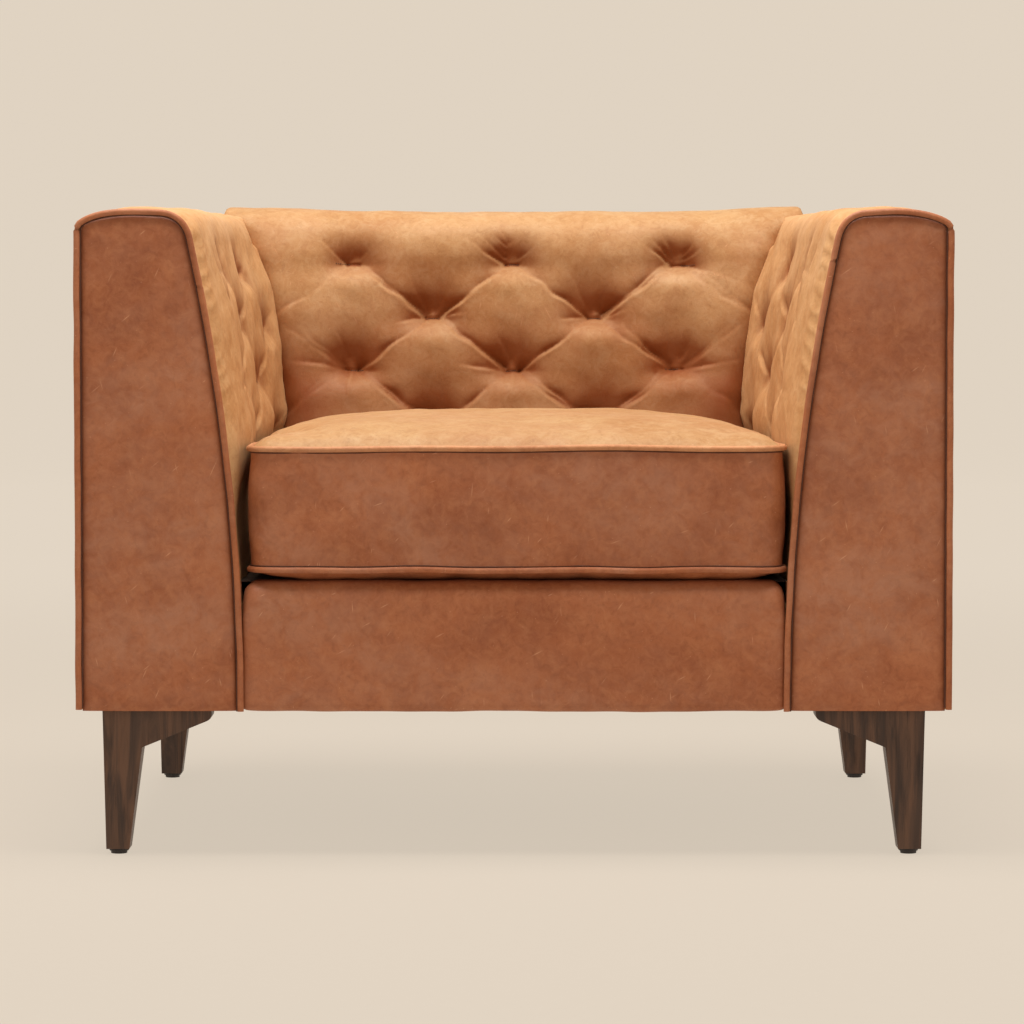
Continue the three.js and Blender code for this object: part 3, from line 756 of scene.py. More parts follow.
def inside_arm(side, sign, seed):
    """The tufted leather of one arm, from the deck up and over its top, and the foam under it."""
    rng = np.random.default_rng(seed)
    outline = arm_line(DECK_TOP + 0.8, ARM_TOP - 26)
    rise = length(outline)
    places = spaced((0, 70, 7), (70, 420, 3.0), (420, rise, 3.4))
    line = resample(outline, places)
    out = normals(line)
    line = line - out * 2
    y = spaced((FRONT + 9, FRONT + 60, 2.4), (FRONT + 60, 190, 3.2), (190, REAR - 3.4, 9))[None, :]
    x = line[:, :1] + 0 * y
    z = line[:, 1:] + 0 * y
    inward, lift = swell(x - 2, y, z)
    base = field(x - inward, y, z + lift)
    normal = field(out[:, :1], 0 * y, out[:, 1:])
    v = (DECK_TOP + places)[:, None] + 0 * y
    u = y + 0 * v
    tufts, hidden, rows = arm_tufts()
    tufts = [(a + rng.uniform(-5, 5), b + rng.uniform(-3, 3), s) for a, b, s in tufts]
    h, painted_shade = tufted(u, v, tufts, arm_folds(rng, tufts, hidden, rows), 12.0, 25.0, seed + 5)
    h = arm_height(u, v, h, rise, seed)
    front = base + normal * h[..., None]
    clear = cushion_half(u, sign) + 4.0 - 60 * smooth(u, 126, 140)
    soft = smooth(v, DECK_TOP + 200, DECK_TOP + 240)
    front[..., 0] = np.maximum(front[..., 0], clear - 300 * soft)
    flip = np.array([sign, 1, 1])
    # The painted shade fades out over the arm's top.
    painted_shade = painted_shade * (1 - smooth(v, SHOULDER + 10, SHOULDER + 40))
    back = front - normal * LEATHER
    skin = slab(f"inside_arm_leather_{side}", front * flip, back * flip, LEATHERS[f"arm_{side}"], painted_shade)
    dress(skin, "chair", "leather", f"inside_arm_cover_{side}")
    under = base + normal * (sunk(h) - LEATHER - 1.5)[..., None]
    deep = base - normal * ARM_FOAM
    pad = slab(f"arm_padding_{side}", under[::3, ::3] * flip, deep[::3, ::3] * flip, FOAM)
    dress(pad, "chair", "foam", f"arm_foam_{side}")
    tuft_stitches(f"tuft_stitches_{side}", tufts, u, v, front, normal, flip, (0, 1, 0))


def arm_foot(side, sign, seed):
    """The foot of the inside arm's leather, which goes down beside the front rail."""
    y = np.linspace(FRONT + 9.5, FRONT + 46, 14)[None, :]
    z = np.linspace(BODY_BASE + 1, DECK_TOP + 0.4, 60)[:, None]
    rail_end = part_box("front_rail_cover")[1].x / MM + RAIL_REACH
    x = np.maximum(inner_x(z), rail_end) + 0.9 + 0.25 * ripple(y, z, 60, seed)
    face = field(x, y, z)
    flip = np.array([sign, 1, 1])
    back = (face + np.array([2.0, 0, 0])) * flip
    # Painted shade all over the strip, which stands in the dark gap beside the rail.
    strip = slab(f"inside_arm_foot_{side}", face * flip, back, LEATHERS[f"arm_{side}"], 0.6 + 0 * x)
    attach(strip, "chair")


def tuft_stitches(name, tufts, u, v, surface, normal, flip, along):
    """The row of stitches that closes the slot of each tuft."""
    places = []
    axis = np.array(along, float)
    for a, b, _ in tufts:
        i = int(np.argmin(np.abs(v[:, 0] - b)))
        j = int(np.argmin(np.abs(u[0] - a)))
        out = normal[i, j] / np.linalg.norm(normal[i, j])
        third = np.cross(axis, out)
        for k in range(-3, 4):
            place = a + k * STITCH
            c = int(np.argmin(np.abs(u[0] - place)))
            spot = surface[i, c] + axis * (place - u[0, c]) + out * 0.6
            places.append((spot * flip, np.stack([axis * flip, third * flip, out * flip])))
    stitches = many(name, places, *lozenge(2.1, 1.0, 0.9), THREAD)
    attach(stitches, "chair")


def outside_arm(side, sign, seed):
    """The plain outer side of one arm, turned in at its foot and at the seam along its top."""
    low, high = BODY_BASE + 0.5, ARM_TOP - 27
    wall = HALF - 3
    turn_in = quadratic((wall - 8, low), (wall, low), (wall, low + 8), 6)
    up = np.linspace((wall, low + 8), (wall, high - 6), 60)[1:]
    tuck = quadratic((wall, high - 6), (wall, high), (wall - 3, high), 4)[1:]
    line = np.concatenate([turn_in, up, tuck])
    out = -normals(line)
    y = spaced((FRONT + 9, FRONT + 40, 3), (FRONT + 40, REAR - 45, 9), (REAR - 45, REAR - 3.6, 4))[None, :]
    z = line[:, 1:] + 0 * y
    edge = np.minimum(y - FRONT - 9, REAR - 3.6 - y) + 0 * z
    tall = np.minimum(z - low, high - z)
    h = 1.6 * (1 - np.exp(-edge / 16)) * (1 - np.exp(-tall / 20)) - 1.8 * np.exp(-edge / 3.0)
    h += 0.8 * ripple(y, z, 160, seed) * smooth(edge, 0, 60)
    gather = np.sin(z * 2 * math.pi / 27 + 3 * ripple(y, z, 120, seed + 2))
    h += 0.45 * gather * np.exp(-edge / 13) * smooth(tall, 5, 40)
    way = field(out[:, :1], 0 * y, out[:, 1:])
    front = field(line[:, :1], y, z) + way * h[..., None]
    flip = np.array([sign, 1, 1])
    back = front - way * LEATHER
    skin = slab(f"outside_arm_leather_{side}", front * flip, back * flip, LEATHERS["outside"])
    dress(skin, "chair", "leather", f"outside_arm_cover_{side}")


def facing(side, sign, seed):
    """The padded front panel of one arm."""
    inset = WELT_ALLOWANCE
    outline = arm_line(BODY_BASE, BODY_BASE)
    line = outline - normals(outline) * inset
    top = line[line[:, 1] > SHOULDER - 6]
    top = top[np.argsort(top[:, 0])]
    a = spaced((0, 0.12, 0.012), (0.12, 0.88, 0.022), (0.88, 1, 0.012))[None, :]
    b = spaced((0, 0.03, 0.006), (0.03, 0.94, 0.0095), (0.94, 1, 0.005))[:, None]
    right = HALF - inset
    x_top = inner_x(SHOULDER) + inset + (right - inner_x(SHOULDER) - inset) * a
    z_top = np.interp(x_top, top[:, 0], top[:, 1])
    low = BODY_BASE + 0.4
    z = low + (z_top - low) * b
    left = inner_x(np.minimum(z, SHOULDER)) + inset
    x = left + (right - left) * a
    edge = np.minimum(np.minimum(x - left, right - x), z_top - z)
    puff = 5.2 * (1 - np.exp(-edge / 5.5)) * (1 - 0.55 * np.exp(-(z - low) / 4)) + 1.1 * smooth(edge, 4, 70)
    puff += 0.75 * ripple(x, z, 130, seed) * smooth(edge, 0, 45) + 0.22 * ripple(x, z, 42, seed + 1)
    gather = np.sin(z * 2 * math.pi / 23 + 4 * ripple(x, z, 110, seed + 2))
    puff += 0.55 * gather * np.exp(-(x - left) / 16) * smooth(z, 420, 560) * smooth(edge, 0, 4)
    puff += 0.35 * gather * np.exp(-(right - x) / 12) * smooth(edge, 0, 4)
    front, back = field(x, FRONT + 8.3 - puff, z), field(x, FRONT + 8.6, z)
    flip = np.array([sign, 1, 1])
    # Painted shade along the panel's edges, beside the piping.
    painted_shade = np.exp(-edge / 2.6)
    panel = slab(f"arm_front_panel_{side}", front * flip, back * flip, LEATHERS[f"facing_{side}"], painted_shade)
    dress(panel, "chair", "leather", f"arm_facing_{side}")


def arm_welt(side, sign, seed):
    """The piping round the arm's front panel."""
    outline = arm_line(BODY_BASE, BODY_BASE)
    line = outline - normals(outline) * WELT
    line = resample(line, np.arange(0, length(line), 5.0))
    place = np.arange(len(line))
    line = line - normals(line) * (0.28 * ripple(place * 5.0, 0.0 * place, 55, seed))[:, None]
    y = FRONT + WELT + 0.3 * ripple(place * 5.0, 0.0 * place, 80, seed + 1)
    path = np.stack([line[:, 0] * sign, y, line[:, 1]], 1)
    bead = tube(f"arm_piping_{side}", path, WELT, LEATHERS["arm_welt"], uneven=0.03, seed=seed)
    dress(bead, "chair", "leather", f"arm_welt_{side}")
    # A dark bead along the seam beside the piping, painting the shade in its gap.
    line = outline - normals(outline) * WELT_ALLOWANCE
    line = resample(line, np.arange(0, length(line), 7.0))
    path = np.stack([line[:, 0] * sign, 0 * line[:, 0] + FRONT + WELT + 1.2, line[:, 1]], 1)
    seam_shade_bead = tube(f"arm_piping_{side}_seam", path, 1.0, SEAM, sides=6)
    attach(seam_shade_bead, "chair")


# ---------- the back ----------

def back_tufts(rng):
    """Rows of three and two tufts in turn, and the unstitched places that folds run on to."""
    tufts, hidden = [], []
    for k in range(4):
        z = TUFT_TOP - TUFT_RISE * k + 0.018 * (TUFT_TOP - 316)
        columns = (-1, 0, 1) if k % 2 == 0 else (-0.5, 0.5)
        for c in columns:
            tufts.append((c * TUFT_PITCH + rng.uniform(-3, 3), z + rng.uniform(-1.5, 1.5), 1.0))
        if k % 2 == 1:
            hidden += [(-1.49 * TUFT_PITCH, z), (1.49 * TUFT_PITCH, z)]
    return tufts, hidden


def back_folds(rng, tufts, hidden):
    """The back's folds: from tuft to tuft, and each tuft's own pleats, which differ by row and column."""
    folds = diamond(rng, tufts, hidden, TUFT_PITCH, TUFT_RISE, 0.25, 7.0)
    top = max(b for _, b, _ in tufts)
    for a, b, _ in tufts:
        row = round((top - b) / TUFT_RISE)
        column = round(2 * a / TUFT_PITCH)
        out = math.copysign(1, a)
        if row == 0 and column < 0:
            pleats = ((134, 62, 5.0, 0), (52, 30, 1.5, 8))
        elif row == 0 and column == 0:
            pleats = ((146, 76, 5.0, 0), (139, 58, 3.6, 10), (134, 44, 2.8, 19), (130, 34, 2.2, 27),
                      (112, 26, 1.6, 30), (42, 34, 1.4, 8))
        elif row == 0:
            pleats = ((143, 60, 5.0, 0), (133, 52, 3.4, 9), (115, 44, 2.6, 14), (49, 26, 1.6, 16),
                      (30, 32, 1.6, 8), (-21, 84, 2.6, 0))
        elif row == 1:
            pleats = ((188, 44, 3.4, 0), (10, 46, 2.2, 0), (114, 66, 2.4, 6), (66, 34, 2.2, 8))
        elif row == 2:
            pleats = ((90 - out * 86, 88, 4.0, 0), (90 + out * 94, 34, 2.6, 0),
                      (90 - out * 24, 46, 1.8, 14), (-96, 52, 2.2, -3), (-86, 46, 2.0, -3),
                      (-106, 50, 1.8, -2))
        else:
            pleats = ((-104, 90, 2.4, 0), (-90, 105, 2.8, -3), (-76, 90, 2.4, 0))
        folds += fan(rng, a, b, *pleats)
    return folds


def back_height(u, v, h, calm, over, edge, bottom, rise, seed):
    """The back's tufting with its padding, rolled in beside the arms and at its upper ends."""
    full = smooth(v, DECK_TOP + 40, bottom - 10) * (1 - smooth(v, BACK_SHOULDER + 10, BACK_SHOULDER + 80))
    h = h * calm + 9.5 * full
    h += 1.4 * ripple(u, v, 110, seed + 1) + 0.4 * ripple(u, v, 38, seed + 2)
    side_roll, end_roll, foot = 30.0, 9.0, DECK_TOP + rise
    h -= round_off(np.clip(1 - edge / side_roll, 0, 1), side_roll) * (1 - over)
    rear = smooth(v, foot - 70, foot - 30)
    h -= round_off(np.clip(1 - (BACK_HALF - np.abs(u)) / end_roll, 0, 1), end_roll) * over * (1 - rear)
    raised = smooth(np.abs(u), 190, 350) * smooth(v, BACK_SHOULDER + 20, BACK_SHOULDER + 80)
    h += 5.5 * raised * (1 - smooth(v, foot - 70, foot))
    return h - 1.6 * smooth(v, foot - 8, foot + 3)


def inside_back():
    """The tufted leather of the back, over its top and down to the outside panel, and the foam under it."""
    seed, beside = 41, 9
    rng = np.random.default_rng(seed)
    outline = back_line(DECK_TOP + 3, ARM_TOP - 28)
    rise = length(outline)
    places = spaced((0, 130, 7), (130, 190, 3), (190, 450, 1.8), (450, rise, 4))
    line = resample(outline, places)
    out = normals(line)
    share = spaced((-1, -0.9, 0.008), (-0.9, 0.9, 0.0056), (0.9, 1, 0.008))[None, :]
    v = (DECK_TOP + 3 + places)[:, None] + 0 * share
    y, z = line[:, :1], line[:, 1:]
    over = smooth(v, BACK_SHOULDER + 20, BACK_SHOULDER + 85)
    reach = (arm_face(np.minimum(y, 300), np.minimum(z, SHOULDER)) + beside) * (1 - over) + BACK_HALF * over
    u = share * reach
    base = field(u, y, z)
    normal = field(0 * u, out[:, :1], out[:, 1:])
    tufts, hidden = back_tufts(rng)
    bottom = min(b for _, b, _ in tufts)
    h, painted_shade = tufted(u, v, tufts, back_folds(rng, tufts, hidden), 27.0, 29.0, seed + 5)
    calm = smooth(v, DECK_TOP + 10, bottom - 60) * (1 - smooth(v, BACK_SHOULDER + 12, BACK_SHOULDER + 88))
    edge = np.maximum(reach - beside - np.abs(u), 0)
    h = back_height(u, v, h, calm, over, edge, bottom, rise, seed)
    front = base + normal * h[..., None]
    # Painted shade: darker towards the back's foot and next to the arms, and darkest along its edges beside
    # them, where shade falls; none over the top.
    lower = smooth(-v, 10 - TUFT_TOP, 190 - TUFT_TOP)
    low_and_arm_shade = 0.5 * lower + (0.26 + 0.62 * lower) * np.exp(-edge / 60)
    painted_shade = painted_shade * calm + (0.6 * np.clip(1 - edge / 9, 0, 1) + low_and_arm_shade) * (1 - over)
    skin = slab("inside_back_leather", front, front - normal * LEATHER, LEATHERS["back"], painted_shade)
    dress(skin, "chair", "leather", "inside_back_cover")
    under = base + normal * (sunk(h) - LEATHER - 1.5)[..., None]
    pad = slab("back_padding", under[::3, ::3], (base - normal * BACK_FOAM)[::3, ::3], FOAM)
    dress(pad, "chair", "foam", "back_foam")
    tuft_stitches("tuft_stitches_back", tufts, u, v, front, normal, np.ones(3), (1, 0, 0))


def outside_back():
    """One panel across the rear, up to the back's top roll and over the end of each arm."""
    outline = arm_line(BODY_BASE, BODY_BASE)
    line = outline - normals(outline) * 2
    over = line[(line[:, 0] > BACK_HALF - 5) & (line[:, 1] > SHOULDER - 6)]
    over = over[np.argsort(over[:, 0])]
    low, middle, half = BODY_BASE + 0.6, ARM_TOP - 29, HALF - 2
    side = ((360, 372, 3), (372, 379, 1), (379, 390, 2.5), (390, half - 20, 5), (half - 20, half, 2.5))
    other = [(-b, -a, step) for a, b, step in reversed(side)]
    x = spaced(*other, (-360, 360, 8), *side)[None, :]
    ax = np.abs(x)
    arm_top = np.maximum(np.interp(ax, over[:, 0], over[:, 1]), (ARM_TOP - 0.5) * (ax < 440))
    z_top = middle + (arm_top - middle) * smooth(ax, BACK_HALF - 1.5, BACK_HALF + 0.5)
    b = spaced((0, 0.04, 0.008), (0.04, 0.93, 0.015), (0.93, 1, 0.006))[:, None]
    z = low + (z_top - low) * b
    x = x + 0 * z
    edge = np.minimum(np.minimum(half - np.abs(x), z_top - z), z - low + 2)
    puff = 3.0 * (1 - np.exp(-edge / 5.0)) + 1.2 * smooth(edge, 5, 90)
    puff += 0.9 * ripple(x, z, 170, 71) * smooth(edge, 0, 60)
    gather = np.sin(x * 2 * math.pi / 31 + 3 * ripple(x, z, 140, 72))
    puff += 0.4 * gather * np.exp(-(z_top - z) / 14) * smooth(edge, 0, 5)
    front, back = field(x, REAR - 3.2 + puff, z), field(x, REAR - 3.4, z)
    # Painted shade along the panel's edges.
    panel = slab("outside_back_leather", front, back, LEATHERS["outside"], 0.6 * np.exp(-edge / 2.5))
    dress(panel, "chair", "leather", "outside_back_cover")


# ---------- the seat's front rail, deck and underside ----------

def front_rail():
    """The padded rail under the cushion, with softly rounded upper corners, folded back at both ends."""
    face, top, low = FRONT + 6, DECK_TOP + 1, BODY_BASE + 0.4
    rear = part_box("seat_deck")[0].y / MM - 0.5
    line = np.concatenate([
        quadratic((face + 9, low), (face, low), (face, low + 8), 6),
        np.linspace((face, low + 8), (face, top - 24), 40)[1:],
        quadratic((face, top - 24), (face, top), (face + 24, top), 14)[1:],
        np.linspace((face + 24, top), (rear, top), 8)[1:],
    ])
    out = normals(line)
    reach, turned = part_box("front_rail_cover")[1].x / MM + RAIL_REACH, 24.0
    near = reach - 26
    run = spaced((-reach - turned, -reach, 6), (-reach, -near, 2), (-near, near, 5),
                 (near, reach, 2), (reach, reach + turned, 6))[None, :]
    x = np.clip(run, -reach, reach)
    behind = np.abs(run) - np.abs(x)
    y, z = line[:, :1] + 0 * x, line[:, 1:] + 0 * x
    edge = reach - np.abs(x) + 0 * z
    high = smooth(z, top - 46, top - 12)
    corner = 17.0
    drop = round_off(np.clip(1 - edge / corner, 0, 1), corner) * high
    h = 1.4 * (1 - np.exp(-edge / 14)) - 2.4 * np.exp(-edge / 2.6) * (1 - high)
    h += 0.7 * ripple(x, z, 150, 81) * smooth(edge, 0, 50) + 0.25 * ripple(x, z, 45, 82)
    y = np.minimum(y + out[:, :1] * h + 0.45 * drop + behind, rear)
    z = z + out[:, 1:] * h - drop
    front = field(x, y, z)
    inward = field(np.sign(run) * smooth(behind, 0, 4), out[:, :1], out[:, 1:])
    back = front - inward * LEATHER
    # Painted shade at the rail's two ends, beside the arms.
    rail = slab("front_rail_leather", front, back, LEATHERS["rail"], 0.5 * np.exp(-edge / 3))
    dress(rail, "chair", "leather", "front_rail_cover")
    keep = (np.abs(run[0]) < reach - 3) & (np.arange(run.size) % 2 == 0)
    rows = line[:, 1] > low + 9
    under = (front - inward * (LEATHER + 0.6))[rows][:, keep]
    behind_pad = under.copy()
    behind_pad[..., 1] = rear - 1
    behind_pad[..., 2] = np.minimum(under[..., 2], top - 8)
    under[..., 1] = np.minimum(under[..., 1], rear - 3)
    pad = slab("front_rail_padding", under, behind_pad, FOAM)
    dress(pad, "chair", "foam", "front_edge_pad")


def flat_cloth(name, node, material, slot, sag, seed, seams=()):
    """A cloth pulled tight over a flat opening, sagging a little between its fixings."""
    low, high = (np.array(p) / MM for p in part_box(node))
    x = spaced((low[0], high[0], 9))[None, :]
    y = spaced((low[1], high[1], 9))[:, None]
    edge = np.minimum(np.minimum(x - low[0], high[0] - x), np.minimum(y - low[1], high[1] - y))
    dip = sag * smooth(edge, 0, 150) + 0.35 * np.abs(sag) * ripple(x, y, 90, seed) * smooth(edge, 0, 60)
    pull = 0.5 * np.sin(x * 2 * math.pi / 48) * np.exp(-np.minimum(y - low[1], high[1] - y) / 24)
    pull = pull + 0.5 * np.sin(y * 2 * math.pi / 48) * np.exp(-np.minimum(x - low[0], high[0] - x) / 24)
    for place in seams:
        dip = dip + 1.2 * np.exp(-((y - place) / 4) ** 2)
    top = high[2] - dip + np.minimum(pull, 0.3) * (edge > 1)
    cloth = slab(name, field(x, y, top), field(x, y, top - 1.2), material)
    dress(cloth, "chair", slot, node)


# ---------- the loose seat cushion ----------

def cushion_plan(u, w, inset):
    """From a square, -1 to 1 each way, to the cushion's plan with its rounded corners."""
    y0, y1 = CUSHION_FRONT + inset, CUSHION_REAR - inset
    y = y0 + (y1 - y0) * (w + 1) / 2
    half = cushion_half(y, np.sign(u)) - inset
    x = u * half
    radius = CUSHION_CORNER
    dx = np.maximum(np.abs(x) - (half - radius), 0)
    middle, reach = (y0 + y1) / 2, (y1 - y0) / 2
    dy = np.maximum(np.abs(y - middle) - (reach - radius), 0)
    both = np.hypot(dx, dy)
    pull = np.where(both > 1e-9, np.maximum(dx, dy) / np.maximum(both, 1e-9), 1.0)
    x = np.sign(x) * (np.abs(x) - dx + dx * pull)
    y = middle + np.sign(y - middle) * (np.abs(y - middle) - dy + dy * pull)
    return x, y


def cushion_points(cols, rows, tall):
    """The cushion's closed cover as points and faces, each face marked 0 top, 1 boxing or 2 bottom."""
    u, w = np.meshgrid(np.linspace(-1, 1, cols), np.linspace(-1, 1, rows))
    x, y = cushion_plan(u, w, 3.0)
    crown = (1 - np.abs(u) ** 3.2) * (1 - np.abs(w) ** 3.2)
    belly = (1 - np.abs(u) ** 16) * (1 - np.abs(w) ** 26)
    high = WELT_HIGH + 1.0 + 20 * crown
    low = WELT_LOW - 1.5 - 11 * belly
    count = rows * cols
    loop = rim(rows, cols)
    points = [np.stack([x, y, high], 2).reshape(-1, 3), np.stack([x, y, low], 2).reshape(-1, 3)]
    top_loop, low_loop = points[0][loop], points[1][loop]
    middle = np.array([0, CUSHION_MIDDLE, 0])
    for k in range(1, tall):
        t = k / tall
        ring = top_loop * (1 - t) + low_loop * t
        out = ring - middle
        out[:, 2] = 0
        out /= np.linalg.norm(out, axis=1)[:, None]
        points.append(ring + out * 2.2 * math.sin(math.pi * t))
    faces = grid_faces(rows, cols) + grid_faces(rows, cols, count, True)
    part = [0] * ((rows - 1) * (cols - 1)) + [2] * ((rows - 1) * (cols - 1))
    size = len(loop)

    def at(k, i):
        i %= size
        if k == 0:
            return loop[i]
        if k == tall:
            return count + loop[i]
        return 2 * count + (k - 1) * size + i

    for k in range(tall):
        for i in range(size):
            faces.append([at(k, i + 1), at(k, i), at(k + 1, i), at(k + 1, i + 1)])
            part.append(1)
    return np.concatenate(points), faces, np.array(part), loop, count, (u, w)


def inflate(obj, pinned, pressure, frames):
    """Runs Cloth on a closed cover with air pressure inside, and gives back where its points end."""
    group = obj.vertex_groups.new(name="held")
    group.add([int(i) for i in pinned], 1.0, "REPLACE")
    modifier = obj.modifiers.new("Cloth", "CLOTH")
    settings = modifier.settings
    settings.vertex_group_mass = "held"
    settings.use_pressure = True
    settings.uniform_pressure_force = pressure
    settings.effector_weights.gravity = 0
    settings.quality = 6
    settings.tension_stiffness = 22
    settings.compression_stiffness = 22
    settings.shear_stiffness = 9
    settings.bending_stiffness = 1.6
    settings.shrink_min = -0.012
    modifier.collision_settings.use_collision = False
    modifier.point_cache.frame_start, modifier.point_cache.frame_end = 1, frames
    scene = bpy.context.scene
    for step in range(1, frames + 1):
        scene.frame_set(step)
    shape = obj.evaluated_get(bpy.context.evaluated_depsgraph_get()).to_mesh()
    found = np.zeros(len(shape.vertices) * 3)
    shape.vertices.foreach_get("co", found)
    obj.modifiers.remove(modifier)
    scene.frame_set(1)
    return found.reshape(-1, 3) / MM


def capped(rest, moved, limit):
    """Moved points, each held within its limit of where it started."""
    shift = moved - rest
    far = np.linalg.norm(shift, axis=1)
    return rest + shift * np.minimum(1, limit / np.maximum(far, 1e-9))[:, None]


def panel_of(name, points, faces, material):
    """A part of the cover as its own closed piece of leather, subdivided once and thick inwards."""
    used = sorted({i for f in faces for i in f})
    new = {old: k for k, old in enumerate(used)}
    obj = mesh(name, points[used], [[new[i] for i in f] for f in faces], material, 60, facing=False)
    finer = obj.modifiers.new("Subdivision", "SUBSURF")
    finer.levels = finer.render_levels = 1
    solid = obj.modifiers.new("Solidify", "SOLIDIFY")
    solid.thickness = LEATHER * MM
    solid.offset = -1
    dg = bpy.context.evaluated_depsgraph_get()
    final = bpy.data.meshes.new_from_object(obj.evaluated_get(dg))
    obj.modifiers.clear()
    obj.data = final
    obj.data.shade_smooth()
    obj.data.set_sharp_from_angle(angle=math.radians(60))
    return obj


def shape_top(top, crown):
    """Brings the inflated top to its full height, with unevenness and rays of tension at its corners."""
    share = (top[:, 2] - WELT_HIGH - 1) / (np.percentile(top[:, 2], 99.5) - WELT_HIGH - 1)
    top[:, 2] = WELT_HIGH + 1 + np.clip(share, 0, 2) ** 0.5 * (CUSHION_TOP + 2.5 - WELT_HIGH)
    x, y = top[:, 0], top[:, 1]
    top[:, 2] += crown * (2.0 * ripple(x, y, 150, 91) + 0.9 * ripple(x, y, 60, 92))
    for corner_x, corner_y, seed in ((-1, -1, 93), (1, -1, 94), (1, 1, 95), (-1, 1, 96)):
        dx = x - corner_x * cushion_half(np.array(corner_y * 300.0), corner_x)
        dy = y - (CUSHION_FRONT if corner_y < 0 else CUSHION_REAR)
        d = np.hypot(dx, dy)
        rays = np.sin(np.arctan2(dy, dx) * 13 + 3 * ripple(x, y, 120, seed))
        top[:, 2] += crown * 1.5 * rays * smooth(d, 12, 50) * np.exp(-d / 70)


def shape_rest(low, side, crown):
    """A little unevenness on the bottom and the boxing."""
    low[:, 2] += 0.9 * crown * ripple(low[:, 0], low[:, 1], 60, 97)
    low[:, 2] = np.maximum(low[:, 2] - 2.5 * crown, CUSHION_BASE + 0.6)
    in_front = side[:, 1] < CUSHION_FRONT + 20
    side[:, 1] += np.where(in_front, 0.9 * ripple(side[:, 0], side[:, 2], 120, 98), 0)
    at_end = (np.abs(side[:, 0]) > 250) & ~in_front
    side[:, 0] += np.sign(side[:, 0]) * np.where(at_end, 0.6 * ripple(side[:, 1], side[:, 2], 90, 99), 0)


def cushion_panels(moved, faces, part):
    """The cover cut at its seams into top, boxing and bottom."""
    for index, name, look, node in ((0, "cushion_top_leather", "cushion_top", "cushion_top_panel"),
                                    (1, "cushion_boxing_leather", "boxing", "cushion_boxing"),
                                    (2, "cushion_bottom_leather", "bottom", "cushion_bottom_panel")):
        chosen = turned_out(moved, [f for f, p in zip(faces, part) if p == index])
        panel = panel_of(name, moved, chosen, LEATHERS[look])
        dress(panel, "seat_cushion", "leather", node)


def cushion_welt(ring, name, node, look, way, seed):
    """The piping round the cushion at one seam, with a dark bead along the seam above it (1) or below it
    (-1), which stands for the stitching and paints the shade in the seam's gap.
    """
    middle = np.array([0, CUSHION_MIDDLE, 0])
    around = resample(np.concatenate([ring, ring[:1]]), np.arange(0, length(ring), 5.5))
    away = np.roll(around, -2, 0) - np.roll(around, 2, 0)
    away = np.stack([away[:, 1], -away[:, 0], 0 * away[:, 0]], 1)
    away /= np.linalg.norm(away, axis=1)[:, None]
    away *= np.sign(((around - middle) * away).sum(1))[:, None]
    bead = tube(name, around + away * 1.7, WELT - 0.1, LEATHERS[look], closed=True, uneven=0.03, seed=seed)
    dress(bead, "seat_cushion", "leather", node)
    line = around + away * 0.35 + np.array([0, 0, way * (WELT + 0.7)])
    seam_shade_bead = tube(name + "_seam", line, 0.9, SEAM, closed=True, sides=6)
    attach(seam_shade_bead, "seat_cushion")


def seat_cushion():
    """Top panel, boxing, bottom panel and two welts, from one inflated cover, round a foam core."""
    points, faces, part, loop, count, (u, w) = cushion_points(49, 45, 11)
    low_loop = [count + i for i in loop]
    cover = mesh("cushion_cover", points, faces, LEATHERS["boxing"])
    moved = inflate(cover, list(loop) + low_loop, 3.2, 18)
    bpy.data.objects.remove(cover)
    limit = np.full(len(points), 26.0)
    limit[count:2 * count] = 7.0
    limit[2 * count:] = np.where(points[2 * count:, 1] > CUSHION_REAR - 14, 0.2, 2.0)
    moved = capped(points, moved, limit)
    crown = ((1 - np.abs(u) ** 6) * (1 - np.abs(w) ** 6)).ravel()
    shape_top(moved[:count], crown)
    shape_rest(moved[count:2 * count], moved[2 * count:], crown)
    x, y = moved[loop, 0], moved[loop, 1]
    moved[loop, 2] += 1.3 * ripple(x, y, 110, 100)
    moved[low_loop, 2] += 0.8 * ripple(x, y, 140, 101)
    cushion_panels(moved, faces, part)
    cushion_welt(moved[loop], "cushion_piping_top", "cushion_welt_top", "welt", -1, 5)
    # The bottom welt takes the darker russet leather of the arms' piping, painting the shade under the
    # cushion's edge; the top welt's paler leather paints the light on it.
    cushion_welt(moved[low_loop], "cushion_piping_bottom", "cushion_welt_bottom", "arm_welt", 1, count + 5)
    cushion_core(moved, faces)


def turned_out(points, faces):
    """Faces turned to face away from the cushion's middle."""
    middle = np.array([0, CUSHION_MIDDLE, (WELT_LOW + WELT_HIGH) / 2])
    made = []
    for f in faces:
        a, b, c, d = (points[i] for i in f)
        made.append(f if np.cross(c - a, d - b) @ ((a + c) / 2 - middle) > 0 else f[::-1])
    return made


def cushion_core(moved, faces):
    """The foam inside, the same shape a little smaller."""
    middle = np.array([0, CUSHION_MIDDLE, (WELT_LOW + WELT_HIGH) / 2])
    reach = np.array([CUSHION_HALF, (CUSHION_REAR - CUSHION_FRONT) / 2, (WELT_HIGH - WELT_LOW) / 2])
    inner = middle + (moved - middle) * (1 - (LEATHER + 2.2) / reach)
    foam_core = mesh("cushion_foam_core", inner, faces, FOAM)
    dress(foam_core, "seat_cushion", "foam", "cushion_core")


# ---------- the zip ----------

